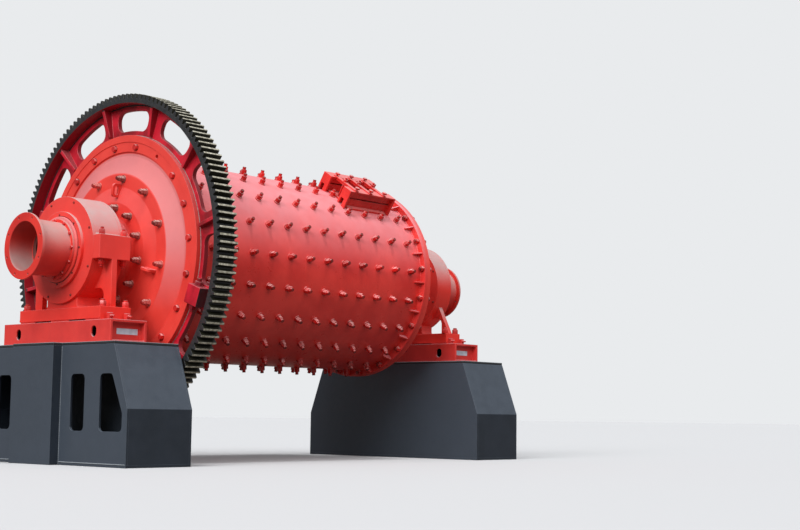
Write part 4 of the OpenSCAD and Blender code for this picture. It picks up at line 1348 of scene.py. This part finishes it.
@dataclass
class Welds:
    """Fillet welds that show where plates meet: the shell's flanges and the pedestals' columns."""

    bead_mm: float = 6.0
    seam_mm: float = 5.0
    inset: float = 1.5 * MM
    end_gap: float = 4 * MM

    def build(self) -> None:
        """Rings round the shell at its flanges, and lines along each pedestal's column."""
        turn = np.arange(0, 360, 0.4)
        radius = shell_radius() + self.inset
        near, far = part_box("gear_end_shell_flange")[1].x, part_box("feed_end_shell_flange")[0].x
        rings = [
            weld_bead(on_drum(x, radius, turn), self.bead_mm, closed=True)
            for x in (near + self.inset, far - self.inset)
        ]
        add_piece("shell_flange_welds", Patch.joined(rings), SHELL_ENAMEL, Slot.SHELL)
        for end in End:
            low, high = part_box(f"{end.word}_pedestal_column")
            edge, far_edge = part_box(f"{end.word}_pedestal_outer_plate")
            x, gap = end.face(f"{end.word}_pedestal_outer_plate"), self.end_gap
            runs = [((x, y, 5 * MM), (x, y, high.z - gap)) for y in (low.y, high.y)]
            runs += [((x, a, edge.z), (x, b, edge.z)) for a, b in (
                (edge.y + gap, low.y - gap), (high.y + gap, far_edge.y - gap))]
            seams = Patch.joined([weld_bead(line(*run), self.seam_mm) for run in runs])
            add_piece(f"{end.word}_pedestal_welds", seams, SEAM_ENAMEL, Slot.PEDESTAL)


@dataclass
class Studio:
    """Pale floor, soft lamps and the camera of the photograph."""

    camera_at: tuple[float, float, float] = (-9.5713, -10.4771, 0.4367)
    yaw: float = 0.7335
    pitch: float = 0.1062
    roll: float = 0.0121
    lens_mm: float = 63.96
    floor_radius: float = 200.0
    floor_sides: int = 96
    lamp_height: float = 9.0

    def build(self) -> None:
        """Floor, world, lamps and camera."""
        self.floor()
        self.world()
        self.sun("key_light", (-0.9, -0.22, 0.52), 2.35, 35)
        self.sun("side_light", (-0.2, -0.65, 0.7), 1.25, 60)
        self.sun("top_light", (-0.05, -0.2, 1.0), 1.3, 10)
        self.camera()

    def floor(self) -> None:
        """A flat disc of 200 m, a fan of triangles round its middle."""
        ring = np.arange(self.floor_sides)
        t = ring * 2 * np.pi / self.floor_sides
        rim = self.floor_radius * np.stack([np.cos(t), np.sin(t), 0 * t], -1)
        points = np.concatenate([[[0, 0, 0]], rim])
        corners = np.stack([0 * ring, ring + 1, (ring + 1) % self.floor_sides + 1], -1)
        mesh = bpy.data.meshes.new("floor")
        mesh.from_pydata(points.tolist(), [], corners.tolist())
        floor = linked("floor", mesh)
        mesh.materials.append(StudioFloor("pale_floor").material())
        floor.location.z = -0.001

    def world(self) -> None:
        """White sky above and a dim half below; the camera sees a pale ground instead of the sky."""
        world = bpy.data.worlds.new("studio_air")
        world.use_nodes = True
        tree = world.node_tree
        tree.nodes.clear()
        height = add(tree, "SeparateXYZ", add(tree, "TexCoord").outputs["Generated"]).outputs["Z"]
        share = add(tree, "MapRange", height, -0.05, 0.5)
        sky = add(tree, "Mix", share, "#7d8085", "#fafcff", data_type="RGBA")
        light = add(tree, "Background", sky, 0.42)
        ground = add(tree, "Background", "#e9ebed", 1.0)
        seen = add(tree, "LightPath").outputs["Is Camera Ray"]
        add(tree, "OutputWorld", add(tree, "MixShader", seen, light, ground))
        bpy.context.scene.world = world

    def sun(self, name: str, towards: Sequence[float], strength: float, spread_degrees: float) -> None:
        """A soft sun that stands in a direction, its disc as wide as an overcast patch of sky."""
        data = bpy.data.lights.new(name, "SUN")
        data.energy, data.angle = strength, math.radians(spread_degrees)
        place = facing(np.array([[0, 0, self.lamp_height]]), np.array([towards], float))[0]
        linked(name, data).matrix_world = Matrix(place.tolist())

    def camera(self) -> None:
        """The camera's axes from its yaw, pitch and roll."""
        yaw, pitch, roll = self.yaw, self.pitch, self.roll
        look = np.array([math.cos(yaw) * math.cos(pitch), math.sin(yaw) * math.cos(pitch), math.sin(pitch)])
        right = np.array([math.sin(yaw), -math.cos(yaw), 0.0])
        up = np.cross(right, look)
        matrix = np.eye(4)
        matrix[:3, 0] = math.cos(roll) * right + math.sin(roll) * up
        matrix[:3, 1] = math.cos(roll) * up - math.sin(roll) * right
        matrix[:3, 2], matrix[:3, 3] = -look, self.camera_at
        data = bpy.data.cameras.new("photo_camera")
        data.lens, data.sensor_width, data.clip_end = self.lens_mm, 36.0, 300.0
        camera = linked("photo_camera", data)
        camera.matrix_world = Matrix(matrix.tolist())
        bpy.context.scene.camera = camera


def main() -> None:
    """Build the studio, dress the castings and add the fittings."""
    logging.basicConfig(level=logging.INFO, format="%(message)s")
    bpy.context.scene.view_settings.view_transform = "Standard"
    Studio().build()
    Castings().build()
    ShellBolts().build()
    FlangeBolts().build()
    GearFittings().build()
    Manhole().build()
    Welds().build()
    for end in End:
        HeadBolts(end).build()
        Linings(end).build()
        BearingFittings(end).build()
        SolePlates(end).build()


if __name__ == "__main__":
    main()
